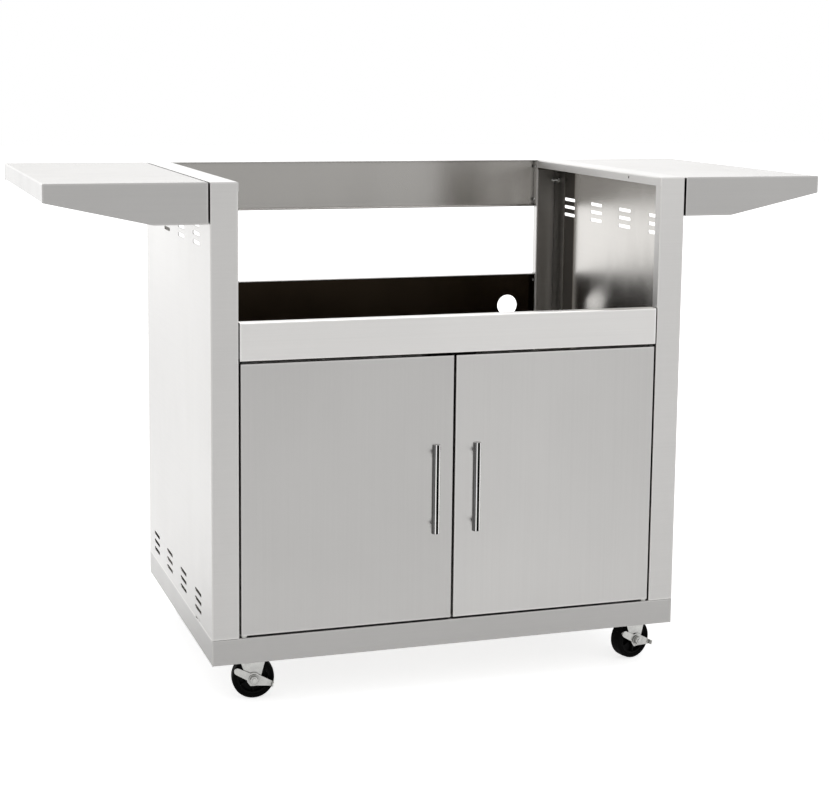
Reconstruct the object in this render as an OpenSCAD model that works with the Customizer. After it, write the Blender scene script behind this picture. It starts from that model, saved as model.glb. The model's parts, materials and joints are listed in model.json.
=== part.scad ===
// Stainless steel cart for a built-in grill head: folded side panels, two doors, two side shelves.
// The grill head hangs in the open top on the flanges of the side panels.
// +X is to the right seen from the front, +Y to the back, +Z up; the floor is at z = 0.

/* [Cart body] */
// Width over the two side panels
cart_w = 870; // [820:1:920]
// Depth of the side panels
cart_d = 600; // [560:1:640]
// Height of the top above the floor
cart_h = 910; // [880:1:940]
// Width of a column and of the top flange
column_w = 48; // [44:1:54]
// Sheet thickness of the body
sheet_t = 1.2; // [1:0.1:1.5]
// Outer radius of the sheet bends
bend_r = 2.4; // [2:0.1:3]
// Depth of the return behind a front column
front_return = 20; // [18:1:26]
// Depth of the return in front of a rear column
rear_return = 20; // [18:1:24]
// Width of the lip folded outwards at the front of that return
rear_lip = 31; // [26:1:34]
// Height of the lip under the top flange
lip_h = 16; // [12:1:20]
// Width of the foot flange that stands on the base
foot_w = 38; // [34:1:42]

/* [Base] */
// Height of the base skirt
base_h = 46; // [42:1:50]
// Width of the lip folded in at the bottom of the skirt
base_lip = 12; // [8:1:14]
// Distance from the front and the back to the outer bolts of the base
base_bolt_end = 110; // [90:1:130]
// Space between the top of a wheel and the bottom of the skirt
skirt_gap = 5; // [4:1:8]
// Height of the castor plates above the bottom of the skirt
castor_recess = 23; // [21:1:26]
// Width of a castor channel
channel_w = 72; // [68:1:76]
// Sheet thickness of a castor channel
channel_t = 2; // [1.5:0.1:2.5]
// Width of a lip of a castor channel
channel_lip = 14; // [10:1:18]

/* [Front and rear] */
// Height of the front apron
apron_h = 66; // [58:1:74]
// Depth of the top flange of the apron
apron_top_flange = 20; // [18:1:26]
// Depth of the bottom flange of the apron, which carries the upper pins and the catch
apron_bottom_flange = 46; // [44:1:52]
// Gap between the apron and a column
apron_gap = 2; // [1:0.5:3]
// Height of the rear top rail
rail_h = 97; // [88:1:106]
// Height of the rear panel
rear_panel_h = 544; // [520:1:570]
// Depth of the flanges of the rear rail and rear panel
rear_flange = 18; // [16:1:22]
// Diameter of the gas hose hole
hose_d = 44; // [36:1:52]
// Gas hose hole, distance to the right of the middle
hose_x = 331; // [260:1:340]
// Gas hose hole, height above the base floor
hose_h = 476; // [440:1:490]

/* [Vents] */
// Length of a vent slot
vent_len = 54; // [44:1:64]
// Height of a vent slot
vent_slot_h = 6.5; // [5:0.5:8]
// Distance from the front to the middle of the first slots
vent_front = 116; // [100:1:124]
// Distance between the slots of a row
vent_pitch = 133; // [120:1:136]
// Distance between the rows
vent_row = 15.7; // [14:0.1:18]
// Distance from the top to the middle of the highest row
vent_top = 79.5; // [76:0.5:90]
// Height of the lowest row above the base
vent_low = 21.6; // [18:0.1:26]
// Length of the hook slot over the base
hook_len = 34; // [28:1:40]
// Height of the hook slot
hook_h = 4; // [3:0.5:5]
// Distance from the front to the middle of the hook slot
hook_y = 121; // [100:1:130]
// Diameter of the grill fixing hole in a lip
fix_d = 5; // [4:0.1:6]
// Distance from the front to the grill fixing hole
fix_y = 136; // [120:1:150]

/* [Doors] */
// Height of a door
door_h = 473; // [450:1:490]
// Thickness of a door
door_t = 18; // [17:1:20]
// Sheet thickness of a door
door_sheet = 1; // [0.8:0.1:1.2]
// Width of the fold round the back of a door
door_fold = 12; // [10:1:16]
// Gap between the two doors
door_mid_gap = 4; // [3:0.5:5]
// Gap between a door and its column
door_side_gap = 3; // [2.5:0.1:4]
// Gap under a door
door_low_gap = 4; // [2.5:0.1:5]
// Gap over a door
door_top_gap = 4.5; // [3:0.1:5]

/* [Handles] */
// Length of a handle bar
handle_len = 160; // [130:1:200]
// Diameter of a handle bar
handle_d = 15; // [12:0.5:16]
// Reach of a handle in front of the door
handle_reach = 21; // [20:1:32]
// Distance from the middle of the cart to a handle
handle_x = 38; // [32:1:60]
// Height of the middle of a handle above the bottom of the door
handle_z = 239; // [200:1:300]
// Diameter of a handle post
post_d = 8; // [7:0.5:8.5]
// Distance from the end of the bar to a post
post_inset = 16; // [10:1:24]
// Diameter of a handle screw
handle_screw_d = 4; // [3:0.5:4]

/* [Hinges] */
// Diameter of a hinge pin
pin_d = 6; // [5:0.1:6.5]
// Distance from the outer edge and the face of a door to its hinge pin
pin_inset = 6; // [6:0.1:6.3]
// Wall of a hinge bushing
bush_wall = 1.6; // [1.2:0.1:1.7]
// Rim of a hinge bushing round its wall
bush_rim = 0.6; // [0.4:0.1:1]
// Length of a bushing and of its pin inside the door
bush_len = 12; // [10:1:16]
// Height and diameter over the pin of the hinge pin heads
pin_head = 3; // [2:0.5:3]

/* [Catch] */
// Width of the catch housing
catch_w = 92; // [84:1:100]
// Height of the catch housing
catch_h = 16; // [15:1:18]
// Width of a magnet and of its strike plate
magnet_w = 26; // [22:1:30]
// Height of a magnet and of its strike plate
magnet_h = 8; // [6:0.5:9]
// Depth of a magnet
magnet_l = 10; // [8:1:14]

/* [Shelves] */
// Length of a shelf from its spacer plates to the tip
shelf_w = 270; // [240:1:300]
// Height of a shelf beside the cart
shelf_h = 70; // [64:1:76]
// Height of a shelf at its tip
shelf_tip = 31; // [28:1:36]
// Length of the level stretch of the lower edge
shelf_level = 91; // [80:1:110]
// Width of the lip folded in under the shelf
shelf_lip = 12; // [8:1:14]
// Thickness of the spacer plates between a shelf and the cart
shelf_gap = 3; // [2:0.5:4]
// Width of a spacer plate
spacer_w = 60; // [54:1:70]
// Height of a spacer plate
spacer_h = 46; // [40:1:50]
// Distance from the top to the shelf bolts
shelf_bolt_z = 42; // [38:1:44]
// Distance from the front to the first shelf bolt
shelf_bolt_front = 40; // [36:1:46]
// Distance between the two front shelf bolts
shelf_bolt_pitch = 36; // [30:1:42]
// Distance from the back to the rear shelf bolt
shelf_bolt_back = 28; // [26:1:34]

/* [Castors] */
// Diameter of a wheel
wheel_d = 75; // [72:1:78]
// Width of a tyre
wheel_w = 26; // [24:1:28]
// Thickness of a tyre
tyre_t = 8; // [6:0.5:9]
// Distance from the kingpin to the wheel's axle
trail = 15; // [13:1:17]
// Distance from the side of the cart to a kingpin
castor_side = 69; // [66:1:80]
// Distance from the front or the back of the cart to a kingpin
castor_end = 58; // [56:1:64]
// Diameter of an axle
axle_d = 8; // [7:0.5:9]
// Diameter of a kingpin
kingpin_d = 10; // [8:0.5:11]
// Width of a castor plate
plate_w = 62; // [60:1:66]
// Thickness of a castor plate
plate_t = 2.5; // [2:0.1:3]
// Distance between the bolts of a castor plate
plate_pitch = 46; // [44:1:48]
// Diameter of the bearing under a castor plate
race_d = 44; // [42:1:46]
// Height of the bearing under a castor plate
race_h = 8; // [7:0.5:8]
// Sheet thickness of a fork
fork_t = 2.5; // [2:0.1:3]
// Space between a tyre and a cheek of its fork
fork_gap = 2; // [1.5:0.1:3]
// Width of the top of a cheek in front of the axle and behind it
cheek_w = 31; // [27:1:32]
// Thickness of a brake lever
lever_t = 2; // [1.5:0.1:2.5]
// Length of the upper arm of a brake lever
lever_up = 32; // [30:1:33]
// Length of the pedal of a brake lever
lever_pedal = 36; // [32:1:42]
// Width of the bent foot of a pedal
pedal_foot = 7; // [5:1:10]

/* [Fasteners] */
// Diameter of the bolts
bolt_d = 6; // [5:0.5:6]
// Diameter of the small screws
screw_d = 4; // [3.5:0.1:4.5]
// Length of bolt and screw beyond what it holds
screw_tail = 9; // [8:1:12]
// Running clearance between a shaft and its hole
run_gap = 0.05; // [0.02:0.01:0.08]
// Clearance of a fixed bolt in its hole
hole_gap = 0.2; // [0.1:0.1:0.3]
// Clearance between faces that pass each other
seat_gap = 0.3; // [0.2:0.1:0.4]

/* [Hidden] */
$fn = 48;

CASTORS = ["front_left", "front_right", "rear_left", "rear_right"];
CASTOR_PARTS = ["castor_plate", "castor_fork", "castor_axle", "wheel", "tyre"];
DOORS = ["left", "right"];

steel = [0.76, 0.75, 0.74];
dark_steel = [0.6, 0.58, 0.56];
zinc = [0.8, 0.8, 0.78];
black = [0.09, 0.09, 0.09];
nylon = [0.93, 0.93, 0.9];

// Heights
base_clear = wheel_d + skirt_gap;
base_top = base_clear + base_h;
castor_h = base_clear + castor_recess;
door_z = base_top + door_low_gap;
door_top = door_z + door_h;
apron_z = door_top + door_top_gap;
apron_top = apron_z + apron_h;

// Depths: the handles and the body together are centred on the origin
front_y = handle_reach / 2 - cart_d / 2;
back_y = front_y + cart_d;

// Half widths
side_x = cart_w / 2;
inner_x = side_x - column_w;
apron_x = inner_x - apron_gap;
door_x = inner_x - door_side_gap;
pin_x = door_x - pin_inset;
pin_y = front_y + pin_inset;
shelf_x = side_x + shelf_gap;

// Fasteners
head_h = 0.6 * bolt_d;
head_r = 0.95 * bolt_d;
screw_head_r = 0.95 * screw_d;
screw_head_h = 0.5 * screw_d;
spacer_back = 4;
end_flange_inset = 0.4;
apron_screw_y = front_y + spacer_back + 8;
rear_screw_y = back_y - rear_flange / 2;
screw_margin = 14;
base_bolt_x = side_x - 15;

// Castors
kingpin_x = side_x - castor_side;
kingpin_front = front_y + castor_end;
kingpin_back = back_y - castor_end;
castor_at = [
    [-kingpin_x, kingpin_front],
    [kingpin_x, kingpin_front],
    [-kingpin_x, kingpin_back],
    [kingpin_x, kingpin_back]
];
castor_turn = [-7, 16, 16, -12];
axle_z = wheel_d / 2;
crown_top = castor_h - plate_t - race_h - seat_gap;
crown_z = crown_top - fork_t;
cheek_in = wheel_w / 2 + fork_gap;
cheek_out = cheek_in + fork_t;
crown_r = race_d / 2 + 3;
axle_boss_r = axle_d / 2 + 7;
washer_t = 1.2;
washer_r = axle_d / 2 + 5;
kingpin_head_r = kingpin_d / 2 + 3;
kingpin_head_h = 3;

function left_of(d) = [-d[1], d[0]];
function unit(v) = v / norm(v);
function angle_of(v) = atan2(v[1], v[0]);

// Points on the arc of radius r about c, from angle a0 to a1
function arc(c, r, a0, a1, steps = 8) =
    [for (i = [0:steps]) let (a = a0 + (a1 - a0) * i / steps) c + r * [cos(a), sin(a)]];

// Arc points where a folded sheet turns at p1; side 0 is the path itself, side 1 is t to its left
function bend(p0, p1, p2, t, r, side) =
    let (
        d1 = unit(p1 - p0),
        d2 = unit(p2 - p1),
        turn = sign(d1[0] * d2[1] - d1[1] * d2[0]),
        angle = acos(d1 * d2),
        path_r = turn > 0 ? r : r - t,
        arc_r = side == 0 ? path_r : path_r - turn * t,
        out = -turn * left_of(d1),
        c = p1 - d1 * path_r * tan(angle / 2) - out * path_r,
        start = angle_of(out)
    )
    arc(c, arc_r, start, start + turn * angle, 4);

// Outline of a folded sheet of thickness t that lies to the left of a path
function fold(path, t, r) =
    let (
        n = len(path) - 1,
        first = t * left_of(unit(path[1] - path[0])),
        last = t * left_of(unit(path[n] - path[n - 1])),
        near = [for (i = [1:1:n - 1]) each bend(path[i - 1], path[i], path[i + 1], t, r, 0)],
        far = [for (i = [1:1:n - 1]) each bend(path[i - 1], path[i], path[i + 1], t, r, 1)]
    )
    concat([path[0]], near, [path[n], path[n] + last],
           [for (i = [len(far) - 1:-1:0]) far[i]], [path[0] + first]);

// Angle on the circle of radius r about c at which the tangent from p touches it
function tangent_angle(p, c, r, side) = angle_of(p - c) + side * acos(r / norm(p - c));

// Outline of a flat link between two round ends
function link_outline(c1, r1, c2, r2) =
    let (
        a = angle_of(c2 - c1),
        lean = acos((r1 - r2) / norm(c2 - c1))
    )
    concat(arc(c1, r1, a + lean, a + 360 - lean, 16), arc(c2, r2, a - lean, a + lean));

// A profile drawn in x and z, carried along Y
module along_y(y0, length) {
    translate([0, y0 + length, 0]) rotate([90, 0, 0]) linear_extrude(length) children();
}

// A profile drawn in y and z, carried along X
module along_x(x0, length) {
    translate([x0, 0, 0]) rotate([90, 0, 90]) linear_extrude(length) children();
}

module on_side(side) {
    mirror([side < 0 ? 1 : 0, 0, 0]) children();
}

// A box given by its two corners
module block(low, high) {
    translate(low) cube(high - low);
}

// A round bar from point p along an axis
module bar_x(p, r, length) {
    translate(p) rotate([0, 90, 0]) cylinder(r = r, h = length);
}

module bar_y(p, r, length) {
    translate(p) rotate([-90, 0, 0]) cylinder(r = r, h = length);
}

module bar_z(p, r, length) {
    translate(p) cylinder(r = r, h = length);
}

// A hexagon bolt along +Z with its head under z = 0 and a nut whose face is at z = grip
module hex_bolt(d, grip, tail) {
    head = 0.6 * d;
    translate([0, 0, -head]) cylinder(r = 0.95 * d, h = head, $fn = 6);
    cylinder(r = d / 2, h = grip + tail);
    translate([0, 0, grip]) cylinder(r = 0.95 * d, h = 0.8 * d, $fn = 6);
}

// A pan head screw along +Z with its head under z = 0
module pan_screw(d, length) {
    h = 0.5 * d;
    rotate_extrude() polygon([
        [0, -h],
        [0.6 * d, -h],
        [0.85 * d, -0.6 * h],
        [0.95 * d, 0],
        [d / 2, 0],
        [d / 2, length - 0.3 * d],
        [0.25 * d, length],
        [0, length]
    ]);
}

// Round ended slot through a wall that stands across X
module slot_x(x0, depth, y, z, length, height) {
    r = height / 2;
    along_x(x0, depth) translate([y, z]) {
        square([length - height, height], center = true);
        for (s = [-1, 1]) translate([s * (length / 2 - r), 0]) circle(r = r, $fn = 24);
    }
}

vent_rows = concat(
    [for (i = [0:2]) cart_h - vent_top - i * vent_row],
    [for (i = [0:2]) base_top + vent_low + i * vent_row]
);
shelf_bolt_y = [
    front_y + shelf_bolt_front,
    front_y + shelf_bolt_front + shelf_bolt_pitch,
    back_y - shelf_bolt_back
];
base_bolt_y = [front_y + base_bolt_end, front_y + cart_d / 2, back_y - base_bolt_end];

// The right side panel; the left one is its mirror image
module side_panel_shape() {
    difference() {
        union() {
            translate([0, 0, base_top]) linear_extrude(cart_h - base_top - sheet_t)
                polygon(fold([
                    [inner_x, front_y + front_return],
                    [inner_x, front_y],
                    [side_x, front_y],
                    [side_x, back_y],
                    [inner_x, back_y],
                    [inner_x, back_y - rear_return],
                    [inner_x + rear_lip, back_y - rear_return]
                ], sheet_t, bend_r));
            along_y(front_y, cart_d) polygon(fold([
                [side_x, cart_h],
                [inner_x, cart_h],
                [inner_x, cart_h - lip_h]
            ], sheet_t, bend_r));
            block([side_x - foot_w, front_y + sheet_t / 2, base_top],
                  [side_x - sheet_t / 2, back_y - sheet_t / 2, base_top + sheet_t]);
        }
        for (z = vent_rows) for (i = [0:3])
            slot_x(side_x - 2 * sheet_t, 3 * sheet_t, front_y + vent_front + i * vent_pitch, z,
                   vent_len, vent_slot_h);
        block([side_x - 1.5 * sheet_t, front_y + hook_y - hook_len / 2, base_top - 1],
              [side_x + 1, front_y + hook_y + hook_len / 2, base_top + hook_h]);
        bar_x([inner_x - 1, front_y + fix_y, cart_h - lip_h / 2], fix_d / 2, sheet_t + 2);
        for (y = shelf_bolt_y)
            bar_x([side_x - 2 * sheet_t, y, cart_h - shelf_bolt_z], bolt_d / 2 + hole_gap, 3 * sheet_t);
        for (y = base_bolt_y)
            bar_z([base_bolt_x, y, base_top - 1], bolt_d / 2 + hole_gap, sheet_t + 2);
        for (z = apron_screw_z)
            bar_x([inner_x - 1, apron_screw_y, z], screw_d / 2 + hole_gap, sheet_t + 2);
        for (z = rear_screw_z)
            bar_x([inner_x - 1, rear_screw_y, z], screw_d / 2 + hole_gap, sheet_t + 2);
    }
}

module left_side_panel() {
    color(steel) on_side(-1) side_panel_shape();
}

module right_side_panel() {
    color(steel) on_side(1) side_panel_shape();
}

// Floor sheet with a skirt all round and a lip folded in at the bottom of the skirt
module base_pan() {
    color(steel) difference() {
        union() {
            block([-side_x + bend_r, front_y + bend_r, base_top - sheet_t],
                  [side_x - bend_r, back_y - bend_r, base_top]);
            for (s = [-1, 1]) on_side(s) along_y(front_y + bend_r, cart_d - 2 * bend_r) polygon(fold([
                [side_x - base_lip, base_clear],
                [side_x, base_clear],
                [side_x, base_top],
                [side_x - 2 * bend_r, base_top]
            ], sheet_t, bend_r));
            for (s = [0, 1]) translate([0, s * (front_y + back_y), 0]) mirror([0, s, 0])
                along_x(-side_x + bend_r, cart_w - 2 * bend_r) polygon(fold([
                    [front_y + 2 * bend_r, base_top],
                    [front_y, base_top],
                    [front_y, base_clear],
                    [front_y + base_lip, base_clear]
                ], sheet_t, bend_r));
            for (sx = [-1, 1]) for (sy = [0, 1])
                on_side(sx) translate([0, sy * (front_y + back_y), 0]) mirror([0, sy, 0]) base_corner();
        }
        for (s = [-1, 1]) {
            for (y = base_bolt_y)
                bar_z([s * base_bolt_x, y, base_top - sheet_t - 1], bolt_d / 2 + hole_gap, sheet_t + 2);
            bar_z([s * pin_x, pin_y, base_top - sheet_t - 1], pin_d / 2 + run_gap, sheet_t + 2);
        }
    }
}

// The rounded upright corner of the skirt, closed at the top by the corner of the floor sheet
module base_corner() {
    corner = [side_x - bend_r, front_y + bend_r];
    translate([0, 0, base_clear]) intersection() {
        block([corner[0], front_y, 0], [side_x, corner[1], base_h]);
        translate([corner[0], corner[1], 0]) difference() {
            cylinder(r = bend_r, h = base_h);
            translate([0, 0, -1]) cylinder(r = bend_r - sheet_t, h = base_h + 1 - sheet_t);
        }
    }
}

// Lipped channel under the floor that carries two castors
module castor_channel_shape() {
    half = channel_w / 2;
    top = base_top - sheet_t;
    difference() {
        along_y(front_y + base_lip + seat_gap, cart_d - 2 * (base_lip + seat_gap)) polygon(fold([
            [kingpin_x - half + channel_lip, top],
            [kingpin_x - half, top],
            [kingpin_x - half, castor_h],
            [kingpin_x + half, castor_h],
            [kingpin_x + half, top],
            [kingpin_x + half - channel_lip, top]
        ], channel_t, channel_t + 1));
        for (y = [kingpin_front, kingpin_back]) {
            bar_z([kingpin_x, y, castor_h - 1], kingpin_head_r + 2, channel_t + 2);
            for (sx = [-1, 1]) for (sy = [-1, 1])
                bar_z([kingpin_x + sx * plate_pitch / 2, y + sy * plate_pitch / 2, castor_h - 1],
                      bolt_d / 2 + hole_gap, channel_t + 2);
        }
    }
}

module left_castor_channel() {
    color(dark_steel) on_side(-1) castor_channel_shape();
}

module right_castor_channel() {
    color(dark_steel) on_side(1) castor_channel_shape();
}

apron_screw_z = [apron_z + screw_margin, apron_top - screw_margin];

module front_apron() {
    flange_y = front_y + apron_top_flange - 1;
    color(steel) difference() {
        union() {
            along_x(-apron_x, 2 * apron_x) polygon(fold([
                [front_y + apron_top_flange, apron_top],
                [front_y, apron_top],
                [front_y, apron_z],
                [front_y + apron_bottom_flange, apron_z]
            ], sheet_t, bend_r));
            for (s = [-1, 1]) on_side(s)
                block([apron_x - sheet_t, front_y + sheet_t / 2, apron_z + sheet_t / 2],
                      [apron_x, flange_y, apron_top - sheet_t / 2]);
        }
        for (s = [-1, 1]) {
            for (z = apron_screw_z)
                on_side(s) bar_x([apron_x - sheet_t - 1, apron_screw_y, z], screw_d / 2 + hole_gap,
                                 sheet_t + 2);
            bar_z([s * pin_x, pin_y, apron_z - 1], pin_d / 2 + run_gap, sheet_t + 2);
        }
    }
}

// Plates that fill the gap between the apron and the columns, set back from the front
module apron_spacers() {
    color(dark_steel) for (s = [-1, 1]) on_side(s) difference() {
        block([apron_x, front_y + spacer_back, apron_z + 2 * bend_r],
              [inner_x, front_y + front_return - 2, apron_top - 2 * bend_r]);
        for (z = apron_screw_z)
            bar_x([apron_x - 1, apron_screw_y, z], screw_d / 2 + hole_gap, apron_gap + 2);
    }
}

rear_panel_top = base_top + rear_panel_h;
rail_z = cart_h - rail_h;
rail_screw_z = [rail_z + screw_margin, cart_h - screw_margin];
panel_screw_z = [base_top + 2 * screw_margin, (base_top + rear_panel_top) / 2, rear_panel_top - screw_margin];
rear_screw_z = concat(rail_screw_z, panel_screw_z);

// Channel that closes the rear between two heights, with an end flange against each rear column
module rear_closure(low, high, screws) {
    difference() {
        union() {
            along_x(-inner_x, 2 * inner_x) polygon(fold([
                [back_y - rear_flange, low],
                [back_y, low],
                [back_y, high],
                [back_y - rear_flange, high]
            ], sheet_t, bend_r));
            for (s = [-1, 1]) on_side(s)
                block([inner_x - sheet_t, back_y - rear_flange + end_flange_inset, low + sheet_t / 2],
                      [inner_x, back_y - sheet_t / 2, high - sheet_t / 2]);
        }
        for (s = [-1, 1]) for (z = screws)
            on_side(s) bar_x([inner_x - sheet_t - 1, rear_screw_y, z], screw_d / 2 + hole_gap, sheet_t + 2);
    }
}

module rear_top_rail() {
    color(dark_steel) rear_closure(rail_z, cart_h, rail_screw_z);
}

module rear_panel() {
    color(dark_steel) difference() {
        rear_closure(base_top, rear_panel_top, panel_screw_z);
        bar_y([hose_x, back_y - 2 * sheet_t, base_top + hose_h], hose_d / 2, 3 * sheet_t);
    }
}

// A shelf: folded top with its end and inner wall, and a tapered cheek in front and behind
module shelf_shape() {
    tip_x = shelf_x + shelf_w;
    low_z = cart_h - shelf_h;
    tip_z = cart_h - shelf_tip;
    edge = [[shelf_x, low_z], [shelf_x + shelf_level, low_z], [tip_x, tip_z]];
    difference() {
        union() {
            along_y(front_y, cart_d) polygon(fold([
                [tip_x - shelf_lip, tip_z],
                [tip_x, tip_z],
                [tip_x, cart_h],
                [shelf_x, cart_h],
                [shelf_x, low_z]
            ], sheet_t, bend_r));
            for (y = [front_y, back_y - sheet_t]) along_y(y, sheet_t) polygon(concat(edge, [
                [tip_x, cart_h - bend_r],
                [tip_x - bend_r, cart_h],
                [shelf_x + bend_r, cart_h],
                [shelf_x, cart_h - bend_r]
            ]));
            for (y = [front_y, back_y - shelf_lip])
                along_y(y, shelf_lip) polygon(fold(edge, sheet_t, bend_r));
        }
        for (y = shelf_bolt_y)
            bar_x([shelf_x - 1, y, cart_h - shelf_bolt_z], bolt_d / 2 + hole_gap, sheet_t + 2);
    }
}

module left_shelf() {
    color(steel) on_side(-1) shelf_shape();
}

module right_shelf() {
    color(steel) on_side(1) shelf_shape();
}

module shelf_spacers_shape() {
    front_mid = (shelf_bolt_y[0] + shelf_bolt_y[1]) / 2;
    rear_mid = back_y - spacer_back - spacer_w / 2;
    for (y = [front_mid, rear_mid]) difference() {
        block([side_x, y - spacer_w / 2, cart_h - shelf_bolt_z - spacer_h / 2],
              [shelf_x, y + spacer_w / 2, cart_h - shelf_bolt_z + spacer_h / 2]);
        for (by = shelf_bolt_y)
            bar_x([side_x - 1, by, cart_h - shelf_bolt_z], bolt_d / 2 + hole_gap, shelf_gap + 2);
    }
}

module left_shelf_spacers() {
    color(black) on_side(-1) shelf_spacers_shape();
}

module right_shelf_spacers() {
    color(black) on_side(1) shelf_spacers_shape();
}

// Heads inside the shelves, nuts and tails inside the cart
module shelf_bolts() {
    color(zinc) for (s = [-1, 1]) on_side(s) for (y = shelf_bolt_y)
        translate([shelf_x + sheet_t, y, cart_h - shelf_bolt_z]) rotate([0, -90, 0])
            hex_bolt(bolt_d, shelf_gap + 2 * sheet_t, 2 * screw_tail);
}

// Screws through the end flanges of the apron, the rail and the rear panel into the columns
module panel_screws() {
    color(zinc) for (s = [-1, 1]) on_side(s) {
        for (z = apron_screw_z)
            translate([apron_x - sheet_t, apron_screw_y, z]) rotate([0, 90, 0])
                pan_screw(screw_d, 2 * sheet_t + apron_gap + screw_tail);
        for (z = rear_screw_z)
            translate([inner_x - sheet_t, rear_screw_y, z]) rotate([0, 90, 0])
                pan_screw(screw_d, 2 * sheet_t + screw_tail);
    }
}

// Bolts between the foot flanges and the base floor
module base_bolts() {
    color(zinc) for (s = [-1, 1]) for (y = base_bolt_y)
        translate([s * base_bolt_x, y, base_top + sheet_t]) rotate([180, 0, 0])
            hex_bolt(bolt_d, 2 * sheet_t, screw_tail - head_h);
}

module castor_bolts() {
    color(zinc) for (at = castor_at) for (sx = [-1, 1]) for (sy = [-1, 1])
        translate([at[0] + sx * plate_pitch / 2, at[1] + sy * plate_pitch / 2, castor_h + channel_t])
            rotate([180, 0, 0]) hex_bolt(bolt_d, channel_t + plate_t, 1.1 * bolt_d);
}

// Rivets about which the forks swivel
module castor_kingpins() {
    color(zinc) for (at = castor_at) translate([at[0], at[1], 0]) {
        bar_z([0, 0, castor_h], kingpin_head_r, kingpin_head_h);
        bar_z([0, 0, crown_z - seat_gap], kingpin_d / 2, castor_h - crown_z + 2 * seat_gap);
        bar_z([0, 0, crown_z - seat_gap - kingpin_head_h], kingpin_head_r, kingpin_head_h);
    }
}

module lower_hinge_pins() {
    color(zinc) for (s = [-1, 1]) translate([s * pin_x, pin_y, 0]) {
        bar_z([0, 0, base_top - sheet_t - pin_head], pin_d / 2 + pin_head / 2, pin_head);
        bar_z([0, 0, base_top - sheet_t], pin_d / 2, sheet_t + door_low_gap + bush_len);
    }
}

module upper_hinge_pins() {
    color(zinc) for (s = [-1, 1]) translate([s * pin_x, pin_y, 0]) {
        bar_z([0, 0, apron_z + sheet_t], min(pin_d / 2 + pin_head / 2, pin_inset - bend_r), pin_head);
        bar_z([0, 0, door_top - bush_len], pin_d / 2, bush_len + door_top_gap + sheet_t);
    }
}

strike_t = 1;
catch_y = front_y + door_t + strike_t + seat_gap;
magnet_x = catch_w / 2 - magnet_w / 2 - 4;
magnet_z = apron_z - door_top_gap - 2 - magnet_h;

// Magnet housing that hangs under the apron behind the doors
module catch_housing() {
    color(black) difference() {
        block([-catch_w / 2, catch_y, apron_z - catch_h],
              [catch_w / 2, front_y + apron_bottom_flange - 1, apron_z]);
        for (s = [-1, 1])
            block([s * magnet_x - magnet_w / 2 - run_gap, catch_y - 1, magnet_z - run_gap],
                  [s * magnet_x + magnet_w / 2 + run_gap, catch_y + magnet_l, magnet_z + magnet_h + run_gap]);
    }
}

module catch_magnets() {
    color(dark_steel) for (s = [-1, 1])
        block([s * magnet_x - magnet_w / 2, catch_y, magnet_z],
              [s * magnet_x + magnet_w / 2, catch_y + magnet_l, magnet_z + magnet_h]);
}

// Plan of a door with its two front edges rounded
module door_plan() {
    inner = door_mid_gap / 2;
    back = front_y + door_t - door_sheet;
    polygon(concat(
        [[door_x, back], [inner, back]],
        bend([inner, back], [inner, front_y], [door_x, front_y], door_sheet, bend_r, 0),
        bend([inner, front_y], [door_x, front_y], [door_x, back], door_sheet, bend_r, 0)
    ));
}

// Outer skin of the right door, open at the back; the left door is its mirror image
module door_panel_shape() {
    inner = door_mid_gap / 2;
    back = front_y + door_t - door_sheet;
    difference() {
        union() {
            translate([0, 0, door_z]) linear_extrude(door_h) polygon(fold([
                [inner + door_fold, back],
                [inner, back],
                [inner, front_y],
                [door_x, front_y],
                [door_x, back],
                [door_x - door_fold, back]
            ], door_sheet, bend_r));
            for (z = [door_z, door_top - door_sheet])
                translate([0, 0, z]) linear_extrude(door_sheet) door_plan();
            for (z = [door_z, door_top - door_fold])
                block([inner + bend_r, back - door_sheet, z], [door_x - bend_r, back, z + door_fold]);
        }
        for (z = [door_z, door_top - door_sheet])
            bar_z([pin_x, pin_y, z - 1], pin_d / 2 + bush_wall + run_gap, door_sheet + 2);
        for (z = post_z)
            bar_y([handle_x, front_y - 1, z], handle_screw_d / 2 + hole_gap, door_sheet + 2);
    }
}

module door_panel(side) {
    color(steel) on_side(side) door_panel_shape();
}

// Flat inner sheet that closes the back of a door
module door_liner(side) {
    inset = 2;
    color(dark_steel) on_side(side)
        block([door_mid_gap / 2 + inset, front_y + door_t - door_sheet, door_z + inset],
              [door_x - inset, front_y + door_t, door_top - inset]);
}

// A nylon bushing at the foot of a door: a rim in the gap and a sleeve inside the door
module bushing(rim_h) {
    bore = pin_d / 2 + run_gap;
    outer = pin_d / 2 + bush_wall;
    rotate_extrude() polygon([
        [bore, -rim_h],
        [outer + bush_rim, -rim_h],
        [outer + bush_rim, 0],
        [outer, 0],
        [outer, bush_len],
        [bore, bush_len]
    ]);
}

module door_bushings(side) {
    color(nylon) on_side(side) translate([pin_x, pin_y, 0]) {
        translate([0, 0, door_z]) bushing(door_low_gap - seat_gap);
        translate([0, 0, door_top]) mirror([0, 0, 1]) bushing(door_top_gap - seat_gap);
    }
}

module door_strike_plate(side) {
    color(zinc) on_side(side)
        block([magnet_x - magnet_w / 2, front_y + door_t, magnet_z],
              [magnet_x + magnet_w / 2, front_y + door_t + strike_t, magnet_z + magnet_h]);
}

bar_r = handle_d / 2;
bar_y_pos = front_y - handle_reach + bar_r;
bar_low = door_z + handle_z - handle_len / 2;
post_z = [bar_low + post_inset, bar_low + handle_len - post_inset];
screw_depth = handle_reach - handle_d - 1;

// Round bar with softened ends
module handle_bar(side) {
    soft = 1;
    color(steel) translate([side * handle_x, bar_y_pos, bar_low]) rotate_extrude() polygon([
        [0, 0],
        [bar_r - soft, 0],
        [bar_r, soft],
        [bar_r, handle_len - soft],
        [bar_r - soft, handle_len],
        [0, handle_len]
    ]);
}

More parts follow.
